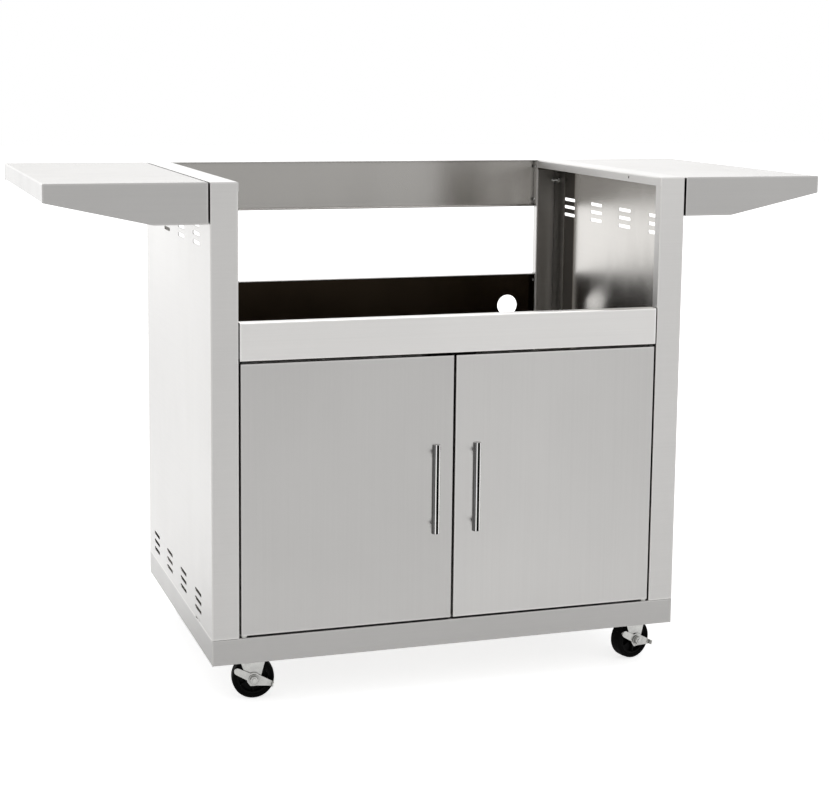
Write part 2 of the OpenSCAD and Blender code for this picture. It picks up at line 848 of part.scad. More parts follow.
// Posts between the door and the bar, each with a saddle for the bar and a blind screw hole
module handle_posts(side) {
    color(steel) difference() {
        for (z = post_z)
            bar_y([side * handle_x, bar_y_pos, z], post_d / 2, front_y - bar_y_pos);
        bar_z([side * handle_x, bar_y_pos, bar_low - 1], bar_r, handle_len + 2);
        for (z = post_z)
            bar_y([side * handle_x, front_y - screw_depth, z], handle_screw_d / 2 + run_gap, screw_depth + 1);
    }
}

module handle_screws(side) {
    color(zinc) for (z = post_z)
        translate([side * handle_x, front_y + door_sheet, z]) rotate([90, 0, 0])
            pan_screw(handle_screw_d, door_sheet + screw_depth - 1);
}

// Square plate with rounded corners and the upper half of the swivel bearing
module castor_plate(i) {
    corner = 6;
    bore = kingpin_d / 2 + run_gap;
    color(zinc) translate([castor_at[i][0], castor_at[i][1], castor_h]) difference() {
        union() {
            translate([0, 0, -plate_t]) linear_extrude(plate_t) {
                square([plate_w, plate_w - 2 * corner], center = true);
                square([plate_w - 2 * corner, plate_w], center = true);
                for (sx = [-1, 1]) for (sy = [-1, 1])
                    translate([sx, sy] * (plate_w / 2 - corner)) circle(r = corner);
            }
            rotate_extrude() polygon([
                [bore, -plate_t - race_h],
                [race_d / 2 - 4, -plate_t - race_h],
                [race_d / 2, -plate_t - race_h + 5],
                [race_d / 2, -plate_t / 2],
                [bore, -plate_t / 2]
            ]);
        }
        bar_z([0, 0, -plate_t - race_h - 1], bore, plate_t + race_h + 2);
        for (sx = [-1, 1]) for (sy = [-1, 1])
            bar_z([sx * plate_pitch / 2, sy * plate_pitch / 2, -plate_t - 1],
                  bolt_d / 2 + hole_gap, plate_t + 2);
    }
}

// Places a swivelling piece: kingpin on Z, wheel trailing along +X, braked side towards -Y
module at_castor(i) {
    translate([castor_at[i][0], castor_at[i][1], 0]) rotate([0, 0, castor_turn[i]]) children();
}

// Pressed fork: a crown with a raised rim, and two cheeks that narrow to the axle boss
module castor_fork(i) {
    axle_at = [trail, axle_z];
    cheek_top = crown_z + fork_t / 2;
    top_back = [trail - cheek_w, cheek_top];
    top_front = [trail + cheek_w - 5, cheek_top];
    rim_out = crown_r - 0.3;
    rim_in = rim_out - 1.6;
    shoulder = cheek_out - 0.4;
    color(zinc) at_castor(i) difference() {
        union() {
            translate([0, 0, crown_z]) linear_extrude(fork_t) {
                circle(r = crown_r);
                translate([0, -shoulder]) square([top_front[0] - 0.5, 2 * shoulder]);
            }
            rotate_extrude() polygon([
                [rim_in, crown_top - 0.5],
                [rim_out, crown_top - 0.5],
                [rim_out, crown_top + 2],
                [rim_in, crown_top + 2]
            ]);
            for (y = [-cheek_out, cheek_in]) along_y(y, fork_t) polygon(concat(
                [top_back],
                arc(axle_at, axle_boss_r, tangent_angle(top_back, axle_at, axle_boss_r, 1),
                    tangent_angle(top_front, axle_at, axle_boss_r, -1) + 360, 12),
                [top_front]
            ));
        }
        bar_z([0, 0, crown_z - 1], kingpin_d / 2 + run_gap, fork_t + 2);
        bar_y([trail, -cheek_out - 1, axle_z], axle_d / 2 + run_gap, 2 * cheek_out + 2);
    }
}

function brake_stack(i) = i < 2 ? lever_t + 2 * seat_gap : 0;

// Axle bolt: head and washer behind, washer and nut on the braked side
module castor_axle(i) {
    near = -cheek_out - brake_stack(i);
    nut_h = 0.75 * axle_d;
    color(zinc) at_castor(i) translate([trail, 0, axle_z]) {
        bar_y([0, near - washer_t - nut_h - 2, 0], axle_d / 2, cheek_out - near + 2 * washer_t + nut_h + 2);
        bar_y([0, near - washer_t, 0], washer_r, washer_t);
        bar_y([0, cheek_out, 0], washer_r, washer_t);
        rotate([90, 0, 0]) translate([0, 0, -near + washer_t]) cylinder(r = 0.9 * axle_d, h = nut_h, $fn = 6);
        rotate([-90, 0, 0]) translate([0, 0, cheek_out + washer_t])
            cylinder(r = 0.9 * axle_d, h = 0.6 * axle_d, $fn = 6);
    }
}

rim_r = axle_z - tyre_t;

// Wheel core: hub, thin web and rim in one revolved profile
module castor_wheel(i) {
    bore = axle_d / 2 + run_gap;
    hub_r = axle_d / 2 + 5;
    hub_w = cheek_in - seat_gap;
    web_w = 0.22 * wheel_w;
    rim_w = 0.43 * wheel_w;
    rim_t = 4;
    color(black) at_castor(i) translate([trail, 0, axle_z]) rotate([-90, 0, 0]) rotate_extrude() polygon([
        [bore, -hub_w],
        [hub_r, -hub_w],
        [hub_r + 1, -web_w],
        [rim_r - rim_t - 1, -web_w],
        [rim_r - rim_t, -rim_w],
        [rim_r, -rim_w],
        [rim_r, rim_w],
        [rim_r - rim_t, rim_w],
        [rim_r - rim_t - 1, web_w],
        [hub_r + 1, web_w],
        [hub_r, hub_w],
        [bore, hub_w]
    ]);
}

// Solid tyre with round shoulders
module castor_tyre(i) {
    shoulder = 4;
    half = wheel_w / 2;
    r = axle_z;
    low_arc = [for (a = [-90:22.5:0]) [r - shoulder, -half + shoulder] + shoulder * [cos(a), sin(a)]];
    high_arc = [for (a = [0:22.5:90]) [r - shoulder, half - shoulder] + shoulder * [cos(a), sin(a)]];
    color(black) at_castor(i) translate([trail, 0, axle_z]) rotate([-90, 0, 0]) rotate_extrude($fn = 72)
        polygon(concat([[rim_r, -half]], low_arc, high_arc, [[rim_r, half]]));
}

lever_up_angle = 152;
pedal_angle = -16;

// Stamped brake lever that turns on the axle: upper arm with a pad, and a pedal with a bent foot
module castor_brake(i) {
    face = -cheek_out - seat_gap;
    ring_r = axle_d / 2 + 8;
    arm_r = 6;
    tip_r = 4.5;
    arm_dir = [cos(lever_up_angle), sin(lever_up_angle)];
    pad_at = lever_up * arm_dir;
    pedal_at = (lever_pedal - tip_r) * [cos(pedal_angle), sin(pedal_angle)];
    pad_end = -wheel_w / 2 - 2 * seat_gap;
    foot_x = lever_pedal - lever_t - 1;
    foot_w = 8;
    color(zinc) at_castor(i) translate([trail, 0, axle_z]) difference() {
        union() {
            along_y(face - lever_t, lever_t) {
                circle(r = ring_r);
                polygon(link_outline(3 * arm_dir, arm_r + 1, pad_at, arm_r));
                polygon(link_outline([0, 0], ring_r - 0.7, pedal_at, tip_r));
                polygon(link_outline([0, 0], ring_r - 2, [-4.5, -9], 3));
            }
            bar_y([pad_at[0], face - lever_t / 2, pad_at[1]], 3.5, pad_end - face + lever_t / 2);
            rotate([0, -pedal_angle, 0])
                block([foot_x, face - lever_t - pedal_foot, -foot_w / 2],
                      [foot_x + lever_t, face - lever_t / 2, foot_w / 2]);
        }
        bar_y([0, face - lever_t - 1, 0], axle_d / 2 + run_gap, lever_t + 2);
    }
}

left_side_panel();
right_side_panel();
base_pan();
left_castor_channel();
right_castor_channel();
front_apron();
apron_spacers();
rear_top_rail();
rear_panel();
left_shelf();
right_shelf();
left_shelf_spacers();
right_shelf_spacers();
shelf_bolts();
panel_screws();
base_bolts();
castor_bolts();
castor_kingpins();
lower_hinge_pins();
upper_hinge_pins();
catch_housing();
catch_magnets();
for (i = [0, 1]) {
    side = 2 * i - 1;
    door_panel(side);
    door_liner(side);
    door_bushings(side);
    door_strike_plate(side);
    handle_bar(side);
    handle_posts(side);
    handle_screws(side);
    castor_brake(i);
}
for (i = [0:3]) {
    castor_plate(i);
    castor_fork(i);
    castor_axle(i);
    castor_wheel(i);
    castor_tyre(i);
}
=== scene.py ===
import json
import math
import bpy
import numpy as np
from mathutils import Matrix, Vector


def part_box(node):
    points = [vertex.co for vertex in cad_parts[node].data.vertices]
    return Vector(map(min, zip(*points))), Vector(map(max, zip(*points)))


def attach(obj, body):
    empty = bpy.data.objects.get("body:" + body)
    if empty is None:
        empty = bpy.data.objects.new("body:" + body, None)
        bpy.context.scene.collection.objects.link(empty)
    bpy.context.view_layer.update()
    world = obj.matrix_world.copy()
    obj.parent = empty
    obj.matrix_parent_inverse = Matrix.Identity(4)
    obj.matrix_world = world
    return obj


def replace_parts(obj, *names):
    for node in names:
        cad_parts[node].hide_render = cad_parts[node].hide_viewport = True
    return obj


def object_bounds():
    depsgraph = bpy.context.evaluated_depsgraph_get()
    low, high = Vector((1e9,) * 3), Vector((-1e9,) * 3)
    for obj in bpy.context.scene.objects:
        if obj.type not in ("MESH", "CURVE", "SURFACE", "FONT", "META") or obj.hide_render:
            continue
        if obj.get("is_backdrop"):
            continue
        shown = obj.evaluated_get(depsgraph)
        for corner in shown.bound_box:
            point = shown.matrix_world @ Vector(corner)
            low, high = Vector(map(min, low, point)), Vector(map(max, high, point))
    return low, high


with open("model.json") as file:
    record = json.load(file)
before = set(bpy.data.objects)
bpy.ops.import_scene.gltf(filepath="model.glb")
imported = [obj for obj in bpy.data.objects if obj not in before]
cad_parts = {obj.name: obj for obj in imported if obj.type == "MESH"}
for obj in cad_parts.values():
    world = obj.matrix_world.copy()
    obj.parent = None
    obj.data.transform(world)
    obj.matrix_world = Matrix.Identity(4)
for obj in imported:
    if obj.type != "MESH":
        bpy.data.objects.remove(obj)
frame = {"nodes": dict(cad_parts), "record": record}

# Grill cart in brushed stainless steel. Metres, +X right, +Y back, +Z up, floor at z = 0.
for name in ("Cube", "Light", "Camera"):   # what a new Blender file holds
    if name in bpy.data.objects:
        bpy.data.objects.remove(bpy.data.objects[name])
cadNodes = frame["nodes"]
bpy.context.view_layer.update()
mm = 0.001
print("frame:", len(cadNodes), "nodes")


# Shader helpers. They take sockets of other nodes and plain values alike.

def addNode(tree, kind, **settings):
    node = tree.nodes.new(kind)
    for key, value in settings.items():
        setattr(node, key, value)
    return node


def fill(tree, socket, value):
    # a socket from another node is linked, anything else is set as the socket's own value
    if isinstance(value, bpy.types.NodeSocket):
        tree.links.new(value, socket)
    elif socket.type == "RGBA":
        socket.default_value = (*value, 1)
    else:
        socket.default_value = value


def mathNode(tree, operation, *values):
    node = addNode(tree, "ShaderNodeMath", operation=operation)
    for socket, value in zip(node.inputs, values):
        fill(tree, socket, value)
    return node.outputs[0]


def vectorNode(tree, operation, *values):
    node = addNode(tree, "ShaderNodeVectorMath", operation=operation)
    for socket, value in zip(node.inputs, values):
        fill(tree, socket, value)
    return node.outputs["Value" if operation in ("DOT_PRODUCT", "LENGTH") else "Vector"]


def axesOf(tree, vector):
    node = addNode(tree, "ShaderNodeSeparateXYZ")
    fill(tree, node.inputs[0], vector)
    return node.outputs


def ramp(tree, value, fromMin, fromMax, toMin=0.0, toMax=1.0, smooth=False):
    node = addNode(tree, "ShaderNodeMapRange", interpolation_type="SMOOTHSTEP" if smooth else "LINEAR")
    for name, number in (("From Min", fromMin), ("From Max", fromMax), ("To Min", toMin), ("To Max", toMax)):
        fill(tree, node.inputs[name], number)
    fill(tree, node.inputs["Value"], value)
    return node.outputs["Result"]


def blend(tree, factor, first, second, kind="FLOAT"):
    node = addNode(tree, "ShaderNodeMix", data_type=kind)
    socketType = "VALUE" if kind == "FLOAT" else kind
    fill(tree, node.inputs[0], factor)
    ends = [socket for socket in node.inputs if socket.name in ("A", "B") and socket.type == socketType]
    fill(tree, ends[0], first)
    fill(tree, ends[1], second)
    return [socket for socket in node.outputs if socket.type == socketType][0]


def scaleColour(tree, colour, amount):
    node = addNode(tree, "ShaderNodeVectorMath", operation="SCALE")
    fill(tree, node.inputs[0], colour)
    fill(tree, node.inputs["Scale"], amount)
    return node.outputs[0]


def noise(tree, vector, scale, detail=2.0, roughness=0.5):
    node = addNode(tree, "ShaderNodeTexNoise")
    fill(tree, node.inputs["Vector"], vector)
    fill(tree, node.inputs["Scale"], scale)
    fill(tree, node.inputs["Detail"], detail)
    fill(tree, node.inputs["Roughness"], roughness)
    return node.outputs["Fac"]


# Camera, floor and lights

photoCamera = {
    "place": (-1.0459, -3.1775, 1.1071),
    "yaw": 18.5507,       # degrees, turned to the right of straight ahead
    "pitch": 8.1025,      # degrees, looking down
    "roll": 0.6432,
    "lens": 77.269,
    "shiftY": -0.10012,
}


def makeCamera(view):
    yaw, pitch, roll = (math.radians(view[k]) for k in ("yaw", "pitch", "roll"))
    ahead = Vector((math.sin(yaw) * math.cos(pitch), math.cos(yaw) * math.cos(pitch), -math.sin(pitch)))
    right = Vector((math.cos(yaw), -math.sin(yaw), 0))
    up = right.cross(ahead)
    rolledRight = math.cos(roll) * right + math.sin(roll) * up
    rolledUp = math.cos(roll) * up - math.sin(roll) * right
    data = bpy.data.cameras.new("photoCamera")
    data.sensor_width = 36
    data.lens = view["lens"]
    data.shift_y = view["shiftY"]
    data.clip_end = 100
    camera = bpy.data.objects.new("photoCamera", data)
    turn = Matrix((rolledRight, rolledUp, -ahead)).transposed().to_4x4()
    camera.matrix_world = Matrix.Translation(view["place"]) @ turn
    bpy.context.scene.collection.objects.link(camera)
    bpy.context.scene.camera = camera


studio = {
    "ambient": 0.55,          # world strength for diffuse light
    "behind": 1.0,            # what metal sees behind the cart
    "inFront": 0.76,          # and in front of it
    "skyGrade": 0.6,          # one turns into the other between minus and plus this along y, as a direction
    "floorInFront": 0.68,     # the same for the floor, where the grade is in metres
    "floorGrade": 1.2,
    "floorTone": (0.86, 0.86, 0.86),
    "floorLit": 0.55,         # about what the lamps and the world give the floor
    "whiteFrom": 1.0,         # the seen floor turns plain white between these distances
    "whiteAt": 2.6,
    "nearGlow": 0.72,
    "farLift": 0.16,          # what metal sees more of the floor far in front, where no lamp lights it
    "liftFull": -3.5,         # y where that is in full, and where it ends
    "liftEnd": -1.0,
    "floorSize": 40,
}

lamps = {
    # name: (place, aimed at, width, height, watts)
    "softboxLeft": ((-4.0, 0.6, 1.6), (0, 0, 0.5), 3.0, 2.6, 11),
    "softboxTop": ((0.2, 0.4, 3.4), (0, 0, 0.6), 3.0, 2.4, 45),
    "softboxBack": ((1.4, 5.0, 1.5), (0.4, 0, 0.6), 10.0, 3.0, 38),
    "softboxFront": ((2.4, -3.4, 2.2), (0, 0, 0.5), 2.0, 1.6, 6),
}


def shownTo(tree, toCamera, toMetal):
    # one value for what the camera sees directly, one for what metal and glass show, and 0 for the rest
    rays = addNode(tree, "ShaderNodeLightPath").outputs
    mirrored = mathNode(tree, "MAXIMUM", rays["Is Glossy Ray"], rays["Is Transmission Ray"])
    return mathNode(tree, "ADD", mathNode(tree, "MULTIPLY", rays["Is Camera Ray"], toCamera),
                    mathNode(tree, "MULTIPLY", mirrored, toMetal))


def makeWorld(values):
    world = bpy.data.worlds.new("studioWorld")
    bpy.context.scene.world = world
    world.use_nodes = True
    tree = world.node_tree
    direction = axesOf(tree, addNode(tree, "ShaderNodeTexCoord").outputs["Generated"])
    grade = ramp(tree, direction["Y"], -values["skyGrade"], values["skyGrade"], values["inFront"],
                 values["behind"])
    more = shownTo(tree, 1 - values["ambient"], mathNode(tree, "SUBTRACT", grade, values["ambient"]))
    background = tree.nodes["Background"]
    fill(tree, background.inputs["Strength"], mathNode(tree, "ADD", more, values["ambient"]))
    fill(tree, background.inputs["Color"], (1, 1, 1))


def makeLamps(table):
    for name, (place, target, width, height, watts) in table.items():
        data = bpy.data.lights.new(name, "AREA")
        data.shape = "RECTANGLE"
        data.size = width
        data.size_y = height
        data.energy = watts
        lamp = bpy.data.objects.new(name, data)
        lamp.location = place
        lamp.rotation_euler = (Vector(target) - Vector(place)).to_track_quat("-Z", "Y").to_euler()
        lamp.visible_camera = False
        bpy.context.scene.collection.objects.link(lamp)


def makeFloor(values):
    material = bpy.data.materials.new("floorPaper")
    material.use_nodes = True
    tree = material.node_tree
    tree.nodes.clear()
    place = addNode(tree, "ShaderNodeNewGeometry").outputs["Position"]
    y = axesOf(tree, place)["Y"]
    whiten = ramp(tree, vectorNode(tree, "LENGTH", place), values["whiteFrom"], values["whiteAt"],
                  values["nearGlow"], 1.0, smooth=True)
    grade = ramp(tree, y, -values["floorGrade"], values["floorGrade"], values["floorInFront"],
                 values["behind"])
    lift = ramp(tree, y, values["liftFull"], values["liftEnd"], values["farLift"], 0)
    shown = mathNode(tree, "ADD", mathNode(tree, "SUBTRACT", grade, values["floorLit"]), lift)
    glow = addNode(tree, "ShaderNodeEmission")
    fill(tree, glow.inputs["Strength"], shownTo(tree, whiten, shown))
    paper = addNode(tree, "ShaderNodeBsdfDiffuse")
    fill(tree, paper.inputs["Color"], values["floorTone"])
    both = addNode(tree, "ShaderNodeAddShader")
    fill(tree, both.inputs[0], paper.outputs[0])
    fill(tree, both.inputs[1], glow.outputs[0])
    fill(tree, addNode(tree, "ShaderNodeOutputMaterial").inputs["Surface"], both.outputs[0])
    half = values["floorSize"] / 2
    around = [(-half, -half, 0), (half, -half, 0), (half, half, 0), (-half, half, 0)]
    mesh = bpy.data.meshes.new("floor")
    mesh.from_pydata(around, [], [(0, 1, 2, 3)])
    mesh.materials.append(material)
    floor = bpy.data.objects.new("floor", mesh)
    bpy.context.scene.collection.objects.link(floor)
    floor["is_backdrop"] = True


makeCamera(photoCamera)
makeWorld(studio)
makeLamps(lamps)
makeFloor(studio)
bpy.context.scene.view_settings.view_transform = "Standard"
print("studio: camera, world, floor and", len(lamps), "lamps")


# Shared node groups. A contrast is the pair of noise values that turn into 0 and 1.

def newGroup(name, inputs, outputs):
    group = bpy.data.node_groups.new(name, "ShaderNodeTree")
    for label, kind, value in inputs:
        socket = group.interface.new_socket(name=label, in_out="INPUT", socket_type="NodeSocket" + kind)
        if value is not None:
            socket.default_value = value
    for label, kind in outputs:
        group.interface.new_socket(name=label, in_out="OUTPUT", socket_type="NodeSocket" + kind)
    given = addNode(group, "NodeGroupInput").outputs
    made = addNode(group, "NodeGroupOutput").inputs
    return group, given, made


def placeGroup(tree, group, **values):
    node = addNode(tree, "ShaderNodeGroup", node_tree=group)
    for label, value in values.items():
        fill(tree, node.inputs[label], value)
    return node.outputs


def shiftBySeed(tree, vector, seed):
    # so that no two pieces show the same marks
    shift = addNode(tree, "ShaderNodeCombineXYZ")
    for axis in "XYZ":
        fill(tree, shift.inputs[axis], seed)
    return vectorNode(tree, "ADD", vector, shift.outputs[0])


grainLook = {
    "flatFrom": 0.7,           # how far up or down the normal of a flat face points
    "broad": (0.28, 1.7),      # noise cells across the grain, as a share of Across, and along it
    "middle": (1.0, 5.0),
    "fine": (3.1, 14.0),
    "contrast": (0.32, 0.68),
    "streakMiddle": 0.5,       # share of the middle marks in the tone, beside the broad ones
    "heightMiddle": 0.4,       # and in the height, beside the fine ones
}


def makeBrushedGrain():
    # Rolling marks: noise drawn out along the grain, in three widths. Standing faces have the grain level,
    # or upright where Upright is 1, and faces that lie flat have it along TopGrain.
    group, given, made = newGroup(
        "brushedGrain",
        [("Vector", "Vector", None), ("Facing", "Vector", None), ("TopGrain", "Vector", (1, 0, 0)),
         ("Upright", "Float", 0.0), ("Across", "Float", 900.0), ("Seed", "Float", 0.0)],
        [("Streaks", "Float"), ("Height", "Float")])
    parts = axesOf(group, given["Vector"])
    tilt = mathNode(group, "ABSOLUTE", axesOf(group, given["Facing"])["Z"])
    flat = mathNode(group, "GREATER_THAN", tilt, grainLook["flatFrom"])
    topAcross = vectorNode(group, "CROSS_PRODUCT", given["TopGrain"], (0, 0, 1))
    level = mathNode(group, "ADD", parts["X"], parts["Y"])
    along = blend(group, flat, blend(group, given["Upright"], level, parts["Z"]),
                  vectorNode(group, "DOT_PRODUCT", given["Vector"], given["TopGrain"]))
    across = blend(group, flat, blend(group, given["Upright"], parts["Z"], level),
                   vectorNode(group, "DOT_PRODUCT", given["Vector"], topAcross))
    layers = {}
    for layer in ("broad", "middle", "fine"):
        width, length = grainLook[layer]
        place = addNode(group, "ShaderNodeCombineXYZ")
        cells = mathNode(group, "MULTIPLY", given["Across"], width)
        fill(group, place.inputs["X"], mathNode(group, "MULTIPLY", along, length))
        fill(group, place.inputs["Y"], mathNode(group, "MULTIPLY", across, cells))
        fill(group, place.inputs["Z"], given["Seed"])
        layers[layer] = noise(group, place.outputs[0], 1.0, 3.0, 0.6)
    streaks = blend(group, grainLook["streakMiddle"], layers["broad"], layers["middle"])
    fill(group, made["Streaks"], ramp(group, streaks, *grainLook["contrast"]))
    fill(group, made["Height"], blend(group, grainLook["heightMiddle"], layers["fine"], layers["middle"]))
    return group


def makeSheetSkin():
    # Skin is 1 on the outer side of a folded sheet, within Depth of the piece's own box.
    # Edge is 1 along the folds, where two faces of the box meet, and fades out over Width; the sheets paint
    # a highlight along it.
    group, given, made = newGroup(
        "sheetSkin",
        [("Vector", "Vector", None), ("Low", "Vector", None), ("High", "Vector", None),
         ("Depth", "Float", 0.6 * mm), ("Width", "Float", 4 * mm)],
        [("Skin", "Float"), ("Edge", "Float")])
    fromLow = axesOf(group, vectorNode(group, "SUBTRACT", given["Vector"], given["Low"]))
    fromHigh = axesOf(group, vectorNode(group, "SUBTRACT", given["High"], given["Vector"]))
    near = [mathNode(group, "MINIMUM", fromLow[axis], fromHigh[axis]) for axis in "XYZ"]
    pairLow = mathNode(group, "MINIMUM", near[0], near[1])
    pairHigh = mathNode(group, "MAXIMUM", near[0], near[1])
    least = mathNode(group, "MINIMUM", pairLow, near[2])
    second = mathNode(group, "MAXIMUM", pairLow, mathNode(group, "MINIMUM", pairHigh, near[2]))
    fill(group, made["Skin"], mathNode(group, "LESS_THAN", least, given["Depth"]))
    fill(group, made["Edge"], ramp(group, second, 0.0, given["Width"], 1.0, 0.0, smooth=True))
    return group


handlingLook = {
    "cloudContrast": (0.3, 0.7),
    "wiping": (1.0, 1.0, 0.35),      # marks drawn out up and down
    "smears": 16.0,                  # cells a metre
    "patches": 5.0,                  # and of the patches that have them
    "smearContrast": (0.2, 0.42),
}


def makeHandling():
    # Cloud is the slow change of tone over a rolled sheet, Smear the finger marks and wiping on top of it.
    group, given, made = newGroup(
        "handling",
        [("Vector", "Vector", None), ("Seed", "Float", 0.0), ("CloudSize", "Float", 2.4)],
        [("Cloud", "Float"), ("Smear", "Float")])
    place = shiftBySeed(group, given["Vector"], given["Seed"])
    cloud = noise(group, place, given["CloudSize"], 2.0)
    fill(group, made["Cloud"], ramp(group, cloud, *handlingLook["cloudContrast"]))
    wiped = vectorNode(group, "MULTIPLY", place, handlingLook["wiping"])
    smear = mathNode(group, "MULTIPLY", noise(group, wiped, handlingLook["smears"], 4.0, 0.6),
                     noise(group, place, handlingLook["patches"], 1.0))
    fill(group, made["Smear"], ramp(group, smear, *handlingLook["smearContrast"]))
    return group


castLook = {"broad": 0.08, "contrast": (0.14, 0.36)}      # broad specks, as a share of Size


def makeCastMarks():
    # Fine pitting and specks, for plated, moulded and rubber pieces
    group, given, made = newGroup(
        "castMarks",
        [("Vector", "Vector", None), ("Size", "Float", 900.0), ("Seed", "Float", 0.0)],
        [("Specks", "Float"), ("Height", "Float")])
    place = shiftBySeed(group, given["Vector"], given["Seed"])
    fine = noise(group, place, given["Size"], 3.0, 0.6)
    broad = noise(group, place, mathNode(group, "MULTIPLY", given["Size"], castLook["broad"]), 2.0)
    specks = mathNode(group, "MULTIPLY", fine, broad)
    fill(group, made["Specks"], ramp(group, specks, *castLook["contrast"]))
    fill(group, made["Height"], fine)
    return group


def makeCreviceShade():
    # Painted shade in gaps: Open falls to Least in a gap, where a real one shows no light, and darkens the
    # colour there. Shut and Clear are the shares of open sky between which it falls.
    group, given, made = newGroup(
        "creviceShade",
        [("Reach", "Float", 12 * mm), ("Least", "Float", 0.03), ("Shut", "Float", 0.08),
         ("Clear", "Float", 0.42)],
        [("Open", "Float")])
    around = addNode(group, "ShaderNodeAmbientOcclusion", samples=4)
    fill(group, around.inputs["Distance"], given["Reach"])
    clear = ramp(group, around.outputs["AO"], given["Shut"], given["Clear"], given["Least"], 1.0)
    fill(group, made["Open"], clear)
    return group


shadeLook = {
    "dullFade": 4 * mm,      # how soon the painted dull stretch and the painted dark strip begin
    "stripFade": 6 * mm,
    "topFrom": -0.12,        # y from which painted shade darkens the top, and its tone where it meets the column
    "topDim": 0.25,
}


def makeRearShade():
    # Painted shade inside a side panel, where its rear column is: the wall between From and To is painted a
    # dull grey, and the strip of wall in front of it, from Strip on, is painted darkest, as a painted dark
    # reflection.
    # Above TopHeight, under the top flange, painted shade makes the inner side darker on the way there.
    group, given, made = newGroup(
        "rearShade",
        [("Vector", "Vector", None), ("Strip", "Float", 0.198), ("From", "Float", 0.25),
         ("To", "Float", 0.298), ("Wall", "Float", 0.425), ("TopHeight", "Float", 0.89),
         ("Dim", "Float", 1.05), ("StripDim", "Float", 0.1)],
        [("Lit", "Float"), ("Dull", "Float")])
    parts = axesOf(group, given["Vector"])
    past = mathNode(group, "ADD", given["From"], shadeLook["dullFade"])
    dull = ramp(group, parts["Y"], given["From"], past, smooth=True)
    before = mathNode(group, "LESS_THAN", parts["Y"], given["To"])
    column = blend(group, mathNode(group, "MULTIPLY", dull, before), 1.0, given["Dim"])
    onWall = mathNode(group, "GREATER_THAN", mathNode(group, "ABSOLUTE", parts["X"]), given["Wall"])
    stripFull = mathNode(group, "ADD", given["Strip"], shadeLook["stripFade"])
    onStrip = mathNode(group, "SUBTRACT", ramp(group, parts["Y"], given["Strip"], stripFull), dull)
    strip = blend(group, mathNode(group, "MULTIPLY", onWall, onStrip), 1.0, given["StripDim"])
    darker = ramp(group, parts["Y"], shadeLook["topFrom"], past, 1.0, shadeLook["topDim"])
    high = mathNode(group, "GREATER_THAN", parts["Z"], given["TopHeight"])
    both = mathNode(group, "MULTIPLY", column, strip)
    fill(group, made["Lit"], mathNode(group, "MULTIPLY", both, blend(group, high, 1.0, darker)))
    fill(group, made["Dull"], dull)
    return group


paintedReflectionLook = {
    # degrees round the bar from -Y towards +X, and the tone of the painted reflection there
    "bands": (
        (-180, 0.2), (-36, 0.13), (-33, 0.005), (-29, 0.005), (-27, 1.0), (-15, 1.0), (-12, 0.005),
        (20, 0.005), (24, 1.0), (52, 1.0), (60, 0.45), (180, 0.3),
    ),
    "endFrom": 0.8,        # how far up or down the normal of a bar's end points
    "endTone": 0.45,
}


def makePaintedReflectionBands():
    # Painted reflection: a polished bar shows the room as upright bands, painted here into its colour. Tone
    # goes by the way the surface faces.
    group, given, made = newGroup("paintedReflectionBands", [("Facing", "Vector", None)], [("Tone", "Float")])
    parts = axesOf(group, given["Facing"])
    turn = mathNode(group, "ARCTAN2", parts["X"], mathNode(group, "MULTIPLY", parts["Y"], -1.0))
    bands = addNode(group, "ShaderNodeValToRGB")
    fill(group, bands.inputs[0], ramp(group, mathNode(group, "DEGREES", turn), -180.0, 180.0))
    stops = bands.color_ramp.elements
    for stop in list(stops)[1:]:
        stops.remove(stop)
    for index, (degrees, tone) in enumerate(paintedReflectionLook["bands"]):
        position = (degrees + 180) / 360
        stop = stops[0] if index == 0 else stops.new(position)
        stop.position = position
        stop.color = (tone, tone, tone, 1)
    ends = mathNode(group, "GREATER_THAN", mathNode(group, "ABSOLUTE", parts["Z"]), paintedReflectionLook["endFrom"])
    fill(group, made["Tone"], blend(group, ends, bands.outputs[0], paintedReflectionLook["endTone"]))
    return group


brushedGrain = makeBrushedGrain()
sheetSkin = makeSheetSkin()
handling = makeHandling()
castMarks = makeCastMarks()
creviceShade = makeCreviceShade()
rearShade = makeRearShade()
paintedReflectionBands = makePaintedReflectionBands()
print("shader groups: grain, skin, handling, cast marks, crevice, rear shade, polish bands")


# Materials of the CAD nodes

def startMaterial(name):
    material = bpy.data.materials.new(name)
    material.use_nodes = True
    tree = material.node_tree
    shader = tree.nodes["Principled BSDF"]
    place = addNode(tree, "ShaderNodeTexCoord").outputs
    return material, tree, shader, place


def addBump(tree, shader, height, strength, distance):
    bump = addNode(tree, "ShaderNodeBump")
    fill(tree, bump.inputs["Strength"], strength)
    fill(tree, bump.inputs["Distance"], distance)
    fill(tree, bump.inputs["Height"], height)
    fill(tree, shader.inputs["Normal"], bump.outputs[0])


def paint(name, material):
    for slot in cadNodes[name].material_slots:
        slot.material = material
